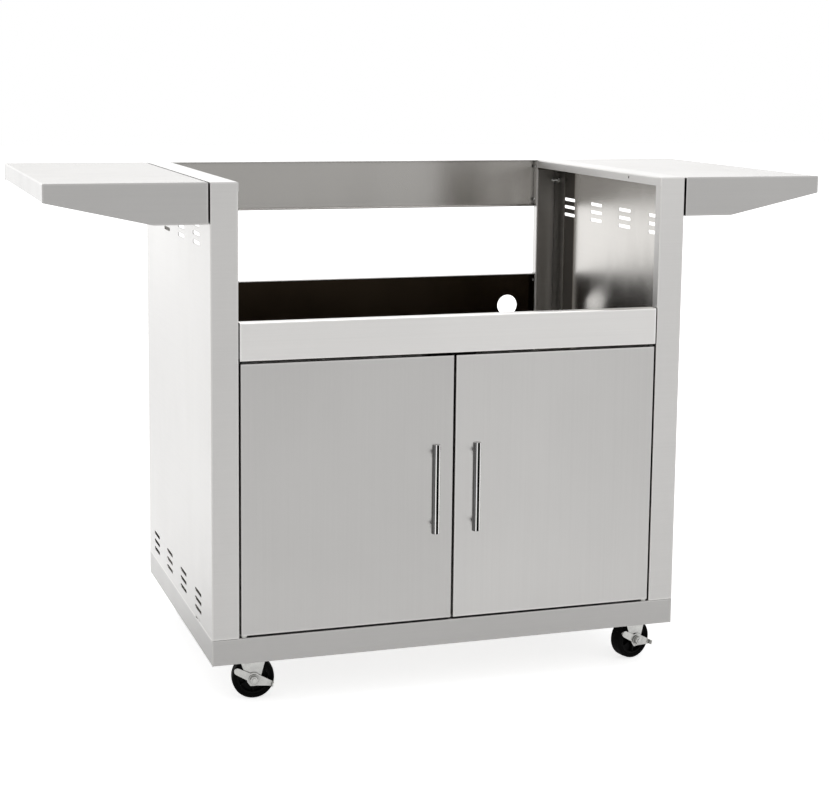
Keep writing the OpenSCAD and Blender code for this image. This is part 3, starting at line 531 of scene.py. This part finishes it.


# tone is the linear grey of the outer side and inner that of the inner side; rough and innerRough say how
# far they scatter. The top and side lifts change the tone of faces that look up or sideways, as painted
# light and shade.
sheetFinish = {
    "left_side_panel": dict(tone=0.66, inner=0.60, rough=0.3, innerRough=0.18, topGrain=(0, 1, 0),
                            shaded=True, sidePaintedLight=0.93, anisotropic=0.92),
    "right_side_panel": dict(tone=0.65, inner=0.62, rough=0.3, innerRough=0.18, topGrain=(0, 1, 0),
                             shaded=True, anisotropic=0.92),
    "left_shelf": dict(tone=0.515, inner=0.5, rough=0.3, innerRough=0.3),
    "right_shelf": dict(tone=0.485, inner=0.5, rough=0.3, innerRough=0.3, topPaintedLight=1.23),
    "left_door_panel": dict(tone=0.57, inner=0.5, rough=0.36, innerRough=0.3, upright=1.0),
    "right_door_panel": dict(tone=0.63, inner=0.5, rough=0.36, innerRough=0.3, upright=1.0),
    "left_door_liner": dict(tone=0.5, inner=0.5, rough=0.3, innerRough=0.3, upright=1.0),
    "right_door_liner": dict(tone=0.5, inner=0.5, rough=0.3, innerRough=0.3, upright=1.0),
    "front_apron": dict(tone=0.78, inner=0.5, rough=0.3, innerRough=0.3),
    "rear_top_rail": dict(tone=0.6, inner=0.45, rough=0.28, innerRough=0.2),
    # its inner side is painted near black and warm, as painted shade of the cart's inside
    "rear_panel": dict(tone=0.6, inner=0.06, rough=0.28, innerRough=0.2, innerTint=(1.0, 0.74, 0.5),
                       innerFoot=0.4),
    "base_pan": dict(tone=0.50, inner=0.5, rough=0.32, innerRough=0.32),
}
steelTint = (1.0, 0.985, 0.965)
shadeTint = (1.0, 0.86, 0.72)     # of the painted shade inside
sheetLook = {
    "streaks": 0.018,          # share by which the rolling marks change the tone
    "cloud": 0.025,
    # share by which a painted highlight lightens the folds
    "edgeHighlight": 0.2,
    "smearRough": 0.04,
    "dullRough": 0.55,         # roughness of the stretches inside that have painted shade
    "footHeights": (0.44, 0.6),
    "turned": (0.6, 0.8),      # how far a normal points up or sideways where the painted light and shade begin and are full
    # painted shade in the gaps between the sheets
    "gap": dict(Reach=8 * mm, Shut=0.3, Clear=0.65),
    "bump": 0.1,
    "bumpDepth": 0.05 * mm,
    "seedStep": 1.7,
}


def paintLightByFacing(tree, change, faces, lift):
    return mathNode(tree, "MULTIPLY", change, ramp(tree, faces, *sheetLook["turned"], 1.0, lift))


def sheetSteel(name, tone, inner, rough, innerRough, innerTint=(1.0, 0.985, 0.96), topGrain=(1, 0, 0),
               upright=0.0, shaded=False, innerFoot=None, topPaintedLight=1.0, sidePaintedLight=1.0,
               anisotropic=0.7, seed=0.0):
    material, tree, shader, place = startMaterial(name + "_steel")
    low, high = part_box(name)
    skin = placeGroup(tree, sheetSkin, Vector=place["Object"], Low=low, High=high)
    grain = placeGroup(tree, brushedGrain, Vector=place["Object"], Facing=place["Normal"],
                       TopGrain=topGrain, Upright=upright, Seed=seed)
    touch = placeGroup(tree, handling, Vector=place["Object"], Seed=seed)

    outer = [tone * t for t in steelTint]
    hidden = [inner * t * w for t, w in zip(steelTint, innerTint)]
    hiddenRough = innerRough
    if shaded:
        # painted shade, warmer where darker, inside the rear columns, where the roughness also rises
        shade = placeGroup(tree, rearShade, Vector=place["Object"])
        warm = blend(tree, shade["Lit"], shadeTint, (1, 1, 1), "RGBA")
        hidden = scaleColour(tree, vectorNode(tree, "MULTIPLY", hidden, warm), shade["Lit"])
        hiddenRough = blend(tree, shade["Dull"], innerRough, sheetLook["dullRough"])
    if innerFoot:
        # the painted shade stops below the apron, where only open doors show it, and the inner side is
        # lighter there
        foot = [innerFoot * t for t in steelTint]
        above = ramp(tree, axesOf(tree, place["Object"])["Z"], *sheetLook["footHeights"], smooth=True)
        hidden = blend(tree, above, foot, hidden, "RGBA")
    plain = blend(tree, skin["Skin"], hidden, outer, "RGBA")

    streaks = ramp(tree, grain["Streaks"], 0, 1, 1 - sheetLook["streaks"], 1 + sheetLook["streaks"])
    clouds = ramp(tree, touch["Cloud"], 0, 1, -sheetLook["cloud"], sheetLook["cloud"])
    # painted highlight along the folds
    paintedEdgeHighlight = mathNode(tree, "MULTIPLY", skin["Edge"], sheetLook["edgeHighlight"])
    change = mathNode(tree, "ADD", mathNode(tree, "ADD", streaks, clouds), paintedEdgeHighlight)
    # painted light and shade by the way a face looks
    if topPaintedLight != 1:
        change = paintLightByFacing(tree, change, axesOf(tree, place["Normal"])["Z"], topPaintedLight)
    if sidePaintedLight != 1:
        sideways = mathNode(tree, "ABSOLUTE", axesOf(tree, place["Normal"])["X"])
        change = paintLightByFacing(tree, change, sideways, sidePaintedLight)
    # painted shade: the colour darkens in gaps
    seen = mathNode(tree, "MULTIPLY", change, placeGroup(tree, creviceShade, **sheetLook["gap"])["Open"])
    fill(tree, shader.inputs["Base Color"], scaleColour(tree, plain, seen))

    plainRough = blend(tree, skin["Skin"], hiddenRough, rough)
    smears = mathNode(tree, "MULTIPLY", touch["Smear"], sheetLook["smearRough"])
    fill(tree, shader.inputs["Roughness"], mathNode(tree, "ADD", plainRough, smears))
    fill(tree, shader.inputs["Metallic"], 1)
    fill(tree, shader.inputs["Anisotropic"], anisotropic)
    # Light scatters across the grain. The slight share keeps the tangent good on faces that look along it.
    slight = 0.02
    across = (1, slight, slight) if upright else (slight * topGrain[1], slight * topGrain[0], 1)
    tangent = addNode(tree, "ShaderNodeVectorTransform", vector_type="VECTOR", convert_from="OBJECT",
                      convert_to="WORLD")
    fill(tree, tangent.inputs[0], across)
    fill(tree, shader.inputs["Tangent"], tangent.outputs[0])
    addBump(tree, shader, grain["Height"], sheetLook["bump"], sheetLook["bumpDepth"])
    return material


for index, (name, finish) in enumerate(sheetFinish.items()):
    paint(name, sheetSteel(name, seed=sheetLook["seedStep"] * index, **finish))
print("sheets:", len(sheetFinish))


# size is that of the specks, in cells a metre, and change how much they change the colour. shut and clear
# say how soon a gap's painted shade is dark, and dimAbove the height above which a piece lies in painted
# shade.
plainFinish = {
    # bands paints a reflection of the room into the bar's colour
    "polished": dict(colour=(1.0, 0.99, 0.98), metallic=1, rough=0.14, size=500, change=0.02, bump=0.01,
                     bands=True),
    "zinc": dict(colour=(0.66, 0.66, 0.64), metallic=1, rough=0.2, size=1200, change=0.10, bump=0.06,
                 shut=0.3, clear=0.85),
    "galvanised": dict(colour=(0.42, 0.42, 0.42), metallic=1, rough=0.38, size=260, change=0.14, bump=0.05),
    "magnet": dict(colour=(0.2, 0.2, 0.2), metallic=1, rough=0.35, size=700, change=0.1, bump=0.05),
    "blackPlastic": dict(colour=(0.004, 0.004, 0.004), metallic=0, rough=0.45, size=1500, change=0.25,
                         bump=0.08, specular=0.08),
    "rubber": dict(colour=(0.003, 0.003, 0.003), metallic=0, rough=0.6, size=1100, change=0.3, bump=0.15,
                   specular=0.06),
    # the upper bushings lie in the dark of the gap under the apron
    "nylon": dict(colour=(0.80, 0.80, 0.76), metallic=0, rough=0.4, size=900, change=0.04, bump=0.04,
                  dimAbove=0.4),
}
plainLook = {
    "least": 0.1,          # tone the painted shade leaves in the deepest gap
    "uneven": 0.15,        # share by which the specks change the roughness
    "bumpDepth": 0.2 * mm,
    "dimOver": 10 * mm,    # height over which painted shade dims a piece, and its tone above
    "dimTone": 0.02,
}


def plainMaterial(name, colour, metallic, rough, size, change, bump, specular=0.5, bands=False,
                  dimAbove=None, shut=0.08, clear=0.42):
    material, tree, shader, place = startMaterial(name)
    marks = placeGroup(tree, castMarks, Vector=place["Object"], Size=float(size))
    # painted shade in gaps
    gap = placeGroup(tree, creviceShade, Least=plainLook["least"], Shut=shut, Clear=clear)
    lifted = ramp(tree, marks["Specks"], 0, 1, 1 - change, 1 + change)
    shaded = mathNode(tree, "MULTIPLY", lifted, gap["Open"])
    if bands:
        # painted reflection of the room as upright bands
        tones = placeGroup(tree, paintedReflectionBands, Facing=place["Normal"])
        shaded = mathNode(tree, "MULTIPLY", shaded, tones["Tone"])
    # painted shade over the part that lies in the dark
    if dimAbove:
        height = axesOf(tree, place["Object"])["Z"]
        dimmed = ramp(tree, height, dimAbove, dimAbove + plainLook["dimOver"], 1.0, plainLook["dimTone"])
        shaded = mathNode(tree, "MULTIPLY", shaded, dimmed)
    fill(tree, shader.inputs["Base Color"], scaleColour(tree, colour, shaded))
    fill(tree, shader.inputs["Specular IOR Level"], specular)
    spread = rough * plainLook["uneven"]
    fill(tree, shader.inputs["Roughness"], ramp(tree, marks["Specks"], 0, 1, rough - spread, rough + spread))
    fill(tree, shader.inputs["Metallic"], metallic)
    addBump(tree, shader, marks["Height"], bump, plainLook["bumpDepth"])
    return material


finishes = {name: plainMaterial(name, **values) for name, values in plainFinish.items()}
sides = ("left", "right")
castors = ("front_left", "front_right", "rear_left", "rear_right")
plainNodes = {
    "polished": [side + "_handle_" + piece for side in sides for piece in ("bar", "posts")],
    "zinc": ["shelf_bolts", "panel_screws", "base_bolts", "castor_bolts", "castor_kingpins",
             "lower_hinge_pins", "upper_hinge_pins", "front_left_brake_lever", "front_right_brake_lever"]
            + [castor + "_castor_" + piece for castor in castors for piece in ("plate", "fork", "axle")]
            + [side + piece for side in sides for piece in ("_handle_screws", "_door_strike_plate")],
    "galvanised": ["left_castor_channel", "right_castor_channel", "apron_spacers"],
    "magnet": ["catch_magnets"],
    "blackPlastic": ["catch_housing", "left_shelf_spacers", "right_shelf_spacers"]
                    + [castor + "_wheel" for castor in castors],
    "rubber": [castor + "_tyre" for castor in castors],
    "nylon": ["left_door_bushings", "right_door_bushings"],
}
for finish, names in plainNodes.items():
    for name in names:
        paint(name, finishes[finish])
print("finishes:", sum(len(names) for names in plainNodes.values()), "nodes")


# New pieces. Each is a grid of points worked out as whole arrays, with quads between the neighbours.
# A form is its points and its faces.

weldCells = 1e7        # cells to a metre; points in the same cell become one
solidCells = 1e6       # the same, for telling the solids of a node apart


def gridFaces(rows, columns, closed=False):
    # the columns always close on themselves, the rows only where closed
    row = np.arange(rows if closed else rows - 1)[:, None]
    column = np.arange(columns)[None, :]
    after = (row + 1) % rows
    beside = (column + 1) % columns
    around = (row * columns + column, row * columns + beside,
              after * columns + beside, after * columns + column)
    return np.stack(around, axis=-1).reshape(-1, 4)


def weld(points, quads):
    # points in one place become one, so that seams and poles close; a quad with a doubled corner turns
    # into a triangle
    cells = np.round(points * weldCells).astype(np.int64)
    first, where = np.unique(cells, axis=0, return_index=True, return_inverse=True)[1:]
    quads = where.reshape(-1)[quads]
    doubled = quads == np.roll(quads, -1, axis=1)
    faces = quads[~doubled.any(axis=1)].tolist()
    for corner in range(4):
        triangles = quads[doubled[:, corner] & (doubled.sum(axis=1) == 1)]
        faces += triangles[:, [(corner + 1) % 4, (corner + 2) % 4, (corner + 3) % 4]].tolist()
    return points[first], faces


def ring(radius, height, steps):
    # rows of points round +Z; radius and height are one number a row, or one a point
    angle = np.arange(steps) * (2 * math.pi / steps)
    radius = np.broadcast_to(np.asarray(radius, float).reshape(len(radius), -1), (len(radius), steps))
    height = np.broadcast_to(np.asarray(height, float).reshape(len(height), -1), (len(height), steps))
    return np.stack([radius * np.cos(angle), radius * np.sin(angle), height], axis=-1)


def lathe(profile, steps):
    # a profile turned round +Z: rows of (radius, height) that run once round the section, against the clock
    radius, height = np.asarray(profile, float).T
    return weld(ring(radius, height, steps).reshape(-1, 3), gridFaces(len(radius), steps, closed=True))


def arcRows(across, up, radius, start, end, steps=8, squash=1.0):
    # (radius, height) rows on an arc between two angles, with its height times squash
    turn = np.radians(np.linspace(start, end, steps))
    return np.stack([across + radius * np.cos(turn), up + squash * radius * np.sin(turn)], axis=-1)


def placed(form, place, along):
    # turns local +Z to point along, and puts the local origin at place
    points, faces = form
    along = Vector(along).normalized()
    beside = Vector((0, 0, 1))
    if abs(along.dot(beside)) > 0.9:
        beside = Vector((1, 0, 0))
    beside = (beside - along * along.dot(beside)).normalized()
    turn = np.array([beside, along.cross(beside), along])
    return np.asarray(place) + points @ turn, faces


def raised(form, lift):
    points, faces = form
    return points + np.array([0, 0, lift]), faces


def join(forms):
    points, faces, count = [], [], 0
    for formPoints, formFaces in forms:
        points.append(formPoints)
        faces.extend([[index + count for index in face] for face in formFaces])
        count += len(formPoints)
    return np.concatenate(points), faces


def addPiece(name, form, body, finish, sharp=30.0):
    points, faces = form
    mesh = bpy.data.meshes.new(name)
    mesh.from_pydata(points.tolist(), [], faces)
    mesh.materials.append(finish)
    mesh.shade_smooth()
    mesh.set_sharp_from_angle(angle=math.radians(sharp))
    piece = bpy.data.objects.new(name, mesh)
    bpy.context.scene.collection.objects.link(piece)
    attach(piece, body)
    return piece


def placesOf(name):
    mesh = cadNodes[name].data
    places = np.empty(len(mesh.vertices) * 3)
    mesh.vertices.foreach_get("co", places)
    return places.reshape(-1, 3)


def looseSolids(name):
    # the lowest and highest corner of every separate solid of a node: each triangle hands the lowest number
    # among its corners on until nothing changes
    mesh = cadNodes[name].data
    mesh.calc_loop_triangles()
    places = placesOf(name)
    used = np.empty(len(mesh.loop_triangles) * 3, dtype=np.int32)
    mesh.loop_triangles.foreach_get("vertices", used)
    cells = np.round(places * solidCells).astype(np.int64)
    label = np.unique(cells, axis=0, return_inverse=True)[1].reshape(-1)
    triangles = label[used].reshape(-1, 3)
    owner = np.arange(label.max() + 1)
    while True:
        lowest = owner[triangles].min(axis=1)
        before = owner.copy()
        np.minimum.at(owner, triangles.reshape(-1), np.repeat(lowest, 3))
        if (owner == before).all():
            break
    solid = owner[label]
    return [(places[solid == key].min(axis=0), places[solid == key].max(axis=0)) for key in np.unique(solid)]


def reachAlong(name, place, along):
    # how far a node reaches along a line, before and past a place on it
    distance = (placesOf(name) - place) @ along
    return distance.min(), distance.max()


def boxMiddle(low, high):
    return (np.asarray(low) + np.asarray(high)) / 2


def boxFoot(low, high):
    foot = boxMiddle(low, high)
    foot[2] = low[2]
    return foot


# Bolts, nuts and screws

hexShape = {
    "rows": (0, 0, 0.55, 0.7, 0.8, 0.88, 0.95, 1.0, 1.0),     # shares of the height
    "coneTop": 0.93,        # the cone's radius at the top, as a share of half the width across flats
    "coneSlope": 1.9,
}
threadShape = {"depth": 0.32, "runOut": 0.2, "tip": 0.4, "tipHeight": 0.3}      # shares of the pitch
boltShape = {               # shares of the diameter
    "head": 0.6,
    "corner": 0.95,         # from the middle to a corner of the hexagon
    "nut": 0.8,
    "pitch": 1.0 * mm,
    "thinner": 0.02 * mm,   # by which the thread's radius stays inside the shank's
    "shorter": 0.3 * mm,
}
screwShape = {              # shares of the diameter
    "head": 0.5,
    "headRadius": 0.95,
    "pitch": 0.7 * mm,
    "dome": (0.85, 3.5),    # how much of its height the dome loses at the rim, and how suddenly
    "recess": 0.55,         # share of the head's height
    "arm": (0.16, 0.06),    # half the width of the cross's arms and its slope, in shares of the radius
    "armEnd": (0.62, 0.14),
}


def hexForm(corner, height, up, steps=48):
    # A hexagon whose upper corners are cut by a cone: its radius is the smaller of the hexagon's and the
    # cone's
    flat = corner * math.cos(math.pi / 6)
    angle = np.arange(steps) * (2 * math.pi / steps)
    hexagon = flat / np.cos((angle + math.pi / 6) % (math.pi / 3) - math.pi / 6)
    level = np.array(hexShape["rows"]) * height
    cone = hexShape["coneTop"] * flat + hexShape["coneSlope"] * (height - level)
    radius = np.minimum(hexagon[None, :], cone[:, None])
    radius[0] = radius[-1] = 0
    points = ring(radius, level, steps)
    faces = gridFaces(len(level), steps)
    if not up:
        points[..., 2] *= -1
        faces = faces[:, ::-1]
    return weld(points.reshape(-1, 3), faces)


def threadForm(radius, length, pitch, steps=20, rowsPerTurn=5):
    # The radius falls and rises once a turn, and the groove climbs one pitch as it goes round
    rows = max(4, int(length / pitch * rowsPerTurn))
    level = np.linspace(0, length, rows)
    angle = np.arange(steps) / steps
    groove = np.abs(((level[:, None] / pitch - angle[None, :]) % 1) * 2 - 1)
    fade = np.clip((length - level) / pitch, threadShape["runOut"], 1)[:, None]
    around = radius - threadShape["depth"] * pitch * fade * groove
    middle = np.zeros((1, steps))
    around = np.concatenate([middle, around, around[-1:] - threadShape["tip"] * pitch, middle])
    level = np.concatenate([[0], level, [length + threadShape["tipHeight"] * pitch] * 2])
    return weld(ring(around, level, steps).reshape(-1, 3), gridFaces(len(level), steps))


def boltForm(diameter, total, grip):
    # +Z from the head's seat: head below it, nut at the grip, thread to the end
    head = boltShape["head"] * diameter
    corner = boltShape["corner"] * diameter
    length = total - head - boltShape["shorter"]
    return join([
        hexForm(corner, head, up=False),
        threadForm(diameter / 2 - boltShape["thinner"], length, boltShape["pitch"]),
        raised(hexForm(corner, boltShape["nut"] * diameter, up=True), grip),
    ])


def panScrewForm(diameter, length, steps=48):
    # A low dome with a cross sunk into it, over a threaded shank. The cross is as deep as the nearer of its
    # two arms allows.
    headRadius, headHeight = screwShape["headRadius"] * diameter, screwShape["head"] * diameter
    (armHalf, armSlope), (armLength, endSlope) = screwShape["arm"], screwShape["armEnd"]
    loss, power = screwShape["dome"]
    reach = np.linspace(0, 1, 16)[:, None]
    angle = (np.arange(steps) * (2 * math.pi / steps))[None, :]
    x, y = np.abs(reach * np.cos(angle)), np.abs(reach * np.sin(angle))
    inArm = np.clip((armHalf - np.minimum(x, y)) / armSlope, 0, 1)
    cross = inArm * np.clip((armLength - np.maximum(x, y)) / endSlope, 0, 1)
    dome = headHeight * (1 - loss * reach ** power) - screwShape["recess"] * headHeight * cross
    radius = np.concatenate([np.broadcast_to(reach * headRadius, dome.shape),
                             np.full((1, steps), headRadius), np.zeros((1, steps))])
    level = np.concatenate([-dome, np.zeros((2, steps))])
    head = weld(ring(radius, level, steps).reshape(-1, 3), gridFaces(len(radius), steps))
    return join([head, threadForm(diameter / 2, length, screwShape["pitch"], steps=14)])


def turnedFasteners(name, along, diameter, grip):
    # One for every solid of the node: a bolt with a nut at its grip, or a screw where there is none. along
    # is the way from head to tail on the right side of the cart, and sideways ones are mirrored on the left.
    head = diameter * (boltShape if grip else screwShape)["head"]
    axis = int(np.argmax(np.abs(along)))
    forms = []
    for low, high in looseSolids(name):
        middle = boxMiddle(low, high)
        way = np.array(along, float)
        if axis == 0:
            way[0] *= np.sign(middle[0])
        total = high[axis] - low[axis]
        form = boltForm(diameter, total, grip) if grip else panScrewForm(diameter, total - head)
        forms.append(placed(form, middle - way * (total / 2 - head), way))
    return join(forms)


fasteners = {
    # node: (body, way, diameter, grip)
    "shelf_bolts": ("cart", (-1, 0, 0), 6 * mm, 5.4 * mm),
    "base_bolts": ("cart", (0, 0, -1), 6 * mm, 2.4 * mm),
    "castor_bolts": ("cart", (0, 0, -1), 6 * mm, 4.5 * mm),
    "panel_screws": ("cart", (1, 0, 0), 4 * mm, None),
    "left_handle_screws": ("left_door", (0, -1, 0), 4 * mm, None),
    "right_handle_screws": ("right_door", (0, -1, 0), 4 * mm, None),
}
zinc = finishes["zinc"]
for node, (body, way, diameter, grip) in fasteners.items():
    form = turnedFasteners(node, way, diameter, grip)
    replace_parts(addPiece(node + "_turned", form, body, zinc), node)
print("fasteners:", len(fasteners), "pieces")


# Wheels, axles and kingpins. Each wheel turns round its own joint, whose axis runs away from the brake.

tyreShape = {
    "radius": 37.5 * mm,
    "inner": 29.5 * mm,
    "width": 26 * mm,
    "shoulder": 4 * mm,
    "crown": 0.5 * mm,
    "mouldLine": 0.2 * mm,
    "mouldHalf": 0.5 * mm,      # half the mould line's width
    "groove": (1.0 * mm, 3.0 * mm, 0.6 * mm, 0.4 * mm),      # from, to, depth, slope
}
coreShape = {
    "bore": 4.1 * mm,
    "hub": 9 * mm,
    "hubHalf": 14.7 * mm,
    "web": 4 * mm,
    "rib": 9 * mm,
    "ribWidth": 2.4 * mm,
    "ribFoot": 0.65,            # half a rib's width at its foot and at its top, as shares of ribWidth
    "ribTop": 0.45,
    "rimInner": 25.8 * mm,
    "rim": 29.5 * mm,
    "rimHalf": 11.2 * mm,
    "ribs": 6,
    "soft": 0.4 * mm,
}
axleShape = {
    "radius": 4 * mm,
    "corner": 7.2 * mm,         # from the middle to a corner of head and nut
    "head": 4.8 * mm,
    "nut": 6 * mm,
    "washer": 9 * mm,
    "washerThick": 1.2 * mm,
    "washerSoft": 0.2 * mm,
    "tail": 2 * mm,
    "pitch": 1.25 * mm,
    "shorter": 0.4 * mm,        # by which the thread stays inside the node's length
}
kingpinShape = {"radius": 5 * mm, "headRadius": 8 * mm, "headHeight": 3 * mm}


def tyreForm(radius, inner, width, shoulder, crown, mouldLine, mouldHalf, groove):
    # Tread radius: r(z) = radius - mouldLine - (crown - mouldLine) (z / e)^2, with e half the tread's width,
    # and a thin mould line in its middle. Each side has a shallow groove.
    half = width / 2
    edge = half - shoulder
    start, end, depth, slope = groove
    side = np.array([(inner, half), (inner + start, half), (inner + start + slope, half - depth),
                     (inner + end - slope, half - depth), (inner + end, half)])
    rounding = arcRows(radius - crown - shoulder, edge, shoulder, 90, 0)
    level = edge * np.linspace(0.85, 0.1, 5)
    tread = np.stack([radius - mouldLine - (crown - mouldLine) * (level / edge) ** 2, level], axis=-1)
    line = [(radius - mouldLine, mouldHalf), (radius, mouldHalf / 2)]
    upper = np.concatenate([side, rounding, tread, line])
    return lathe(np.concatenate([upper * (1, -1), upper[::-1]]), 96)


def coreForm(bore, hub, hubHalf, web, rib, ribWidth, ribFoot, ribTop, rimInner, rim, rimHalf, ribs, soft,
             steps=6):
    # A revolved section whose web rises to the ribs: columns at a rib keep a distance from its middle line,
    # angle = distance / radius, and the others share out what is left of the sector.
    rows = np.array([
        (rim, rimHalf - soft, 0), (rim - soft, rimHalf, 0), (rimInner + soft, rimHalf, 0),
        (rimInner, rimHalf - soft, 0), (rimInner - soft, web, 1), (0.5 * (rimInner + hub), web, 1),
        (hub + soft, web, 1), (hub, hubHalf - soft, 0), (hub - soft, hubHalf, 0), (bore + soft, hubHalf, 0),
        (bore, hubHalf - soft, 0)])
    rows = np.concatenate([rows, rows[::-1] * (1, -1, 1)])
    radius, level, onWeb = (column[:, None] for column in rows.T)
    offset = ribWidth * np.array([-ribFoot, -ribTop, ribTop, ribFoot])
    onRib = np.array([0, 1, 1, 0] + [0] * steps)
    sector = 2 * math.pi / ribs
    edge = offset[-1] / radius
    share = (np.arange(steps) + 1) / (steps + 1)
    turn = np.concatenate([offset / radius, edge + share * (sector - 2 * edge)], axis=1)
    angle = (turn[:, None, :] + sector * np.arange(ribs)[None, :, None]).reshape(len(rows), -1)
    level = level + np.sign(level) * onWeb * (rib - web) * np.tile(onRib, ribs)
    points = np.stack([radius * np.cos(angle), radius * np.sin(angle), level], axis=-1)
    return weld(points.reshape(-1, 3), gridFaces(len(rows), angle.shape[1], closed=True))


def washerForm(bore, radius, thick, soft):
    # a flat ring with its outer edges cut
    return lathe([(bore, 0), (radius - soft, 0), (radius, soft), (radius, thick - soft),
                  (radius - soft, thick), (bore, thick)], 48)


def axleForm(total, radius, corner, head, nut, washer, washerThick, washerSoft, tail, pitch, shorter):
    # +Z from the seat of the head: washer, plain shank, washer, nut, end of the thread
    nutSeat = total - head - tail - nut
    return join([
        hexForm(corner, head, up=False),
        washerForm(radius, washer, washerThick, washerSoft),
        lathe([(0, 0), (radius, 0), (radius, nutSeat), (0, nutSeat)], 40),
        raised(washerForm(radius, washer, washerThick, washerSoft), nutSeat - washerThick),
        raised(hexForm(corner, nut, up=True), nutSeat),
        raised(threadForm(radius, tail + nut - shorter, pitch), nutSeat),
    ])


def kingpinForm(length, radius, headRadius, headHeight):
    # Rivet from its lower dome up to its peened top
    squash = headHeight / headRadius
    lower = arcRows(0, headHeight, headRadius, -90, 0, 7, squash)
    upper = arcRows(0, length - headHeight, headRadius, 0, 90, 7, squash)
    shank = [(radius, headHeight), (radius, length - headHeight)]
    return lathe(np.concatenate([lower, shank, upper]), 40)


wheelJoints = {joint["child"]: joint for joint in frame["record"]["behaviour"]["joints"]}
for castor in castors:
    roller = castor + "_roller"
    joint = wheelJoints[roller]
    middle, axis = np.array(joint["pos_m"]), np.array(joint["axis"])
    tyre = placed(tyreForm(**tyreShape), middle, axis)
    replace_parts(addPiece(castor + "_tyre_moulded", tyre, roller, finishes["rubber"]),
                castor + "_tyre")
    core = placed(coreForm(**coreShape), middle, axis)
    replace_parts(addPiece(castor + "_wheel_ribbed", core, roller, finishes["blackPlastic"]),
                castor + "_wheel")
    nutEnd, headEnd = reachAlong(castor + "_castor_axle", middle, axis)
    seat = middle + axis * (headEnd - axleShape["head"])
    axle = placed(axleForm(headEnd - nutEnd, **axleShape), seat, -axis)
    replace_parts(addPiece(castor + "_axle_turned", axle, castor + "_swivel", zinc),
                castor + "_castor_axle")

kingpins = [placed(kingpinForm(high[2] - low[2], **kingpinShape), boxFoot(low, high), (0, 0, 1))
            for low, high in looseSolids("castor_kingpins")]
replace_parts(addPiece("castor_kingpins_riveted", join(kingpins), "cart", zinc), "castor_kingpins")
print("castors: 4 tyres, 4 wheel cores, 4 axles,", len(kingpins), "kingpins")


# Handle bars

barShape = {"soft": 1.6 * mm, "steps": 96, "sharp": 50}


def barForm(radius, length, soft, steps):
    # a rod turned round +Z, each end rounded by a quarter of a circle
    lower = arcRows(radius - soft, soft, soft, -90, 0, 6)
    upper = arcRows(radius - soft, length - soft, soft, 0, 90, 6)
    return lathe(np.concatenate([[(0, 0)], lower, upper, [(0, length)]]), steps)


for side in sides:
    low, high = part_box(side + "_handle_bar")
    form = barForm((high[0] - low[0]) / 2, high[2] - low[2], barShape["soft"], barShape["steps"])
    bar = addPiece(side + "_handle_bar_turned", placed(form, boxFoot(low, high), (0, 0, 1)),
                   side + "_door", finishes["polished"], sharp=barShape["sharp"])
    bar.visible_glossy = False      # the brushed door shows no image of it
    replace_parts(bar, side + "_handle_bar")
print("handle bars:", len(sides))


low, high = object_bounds()
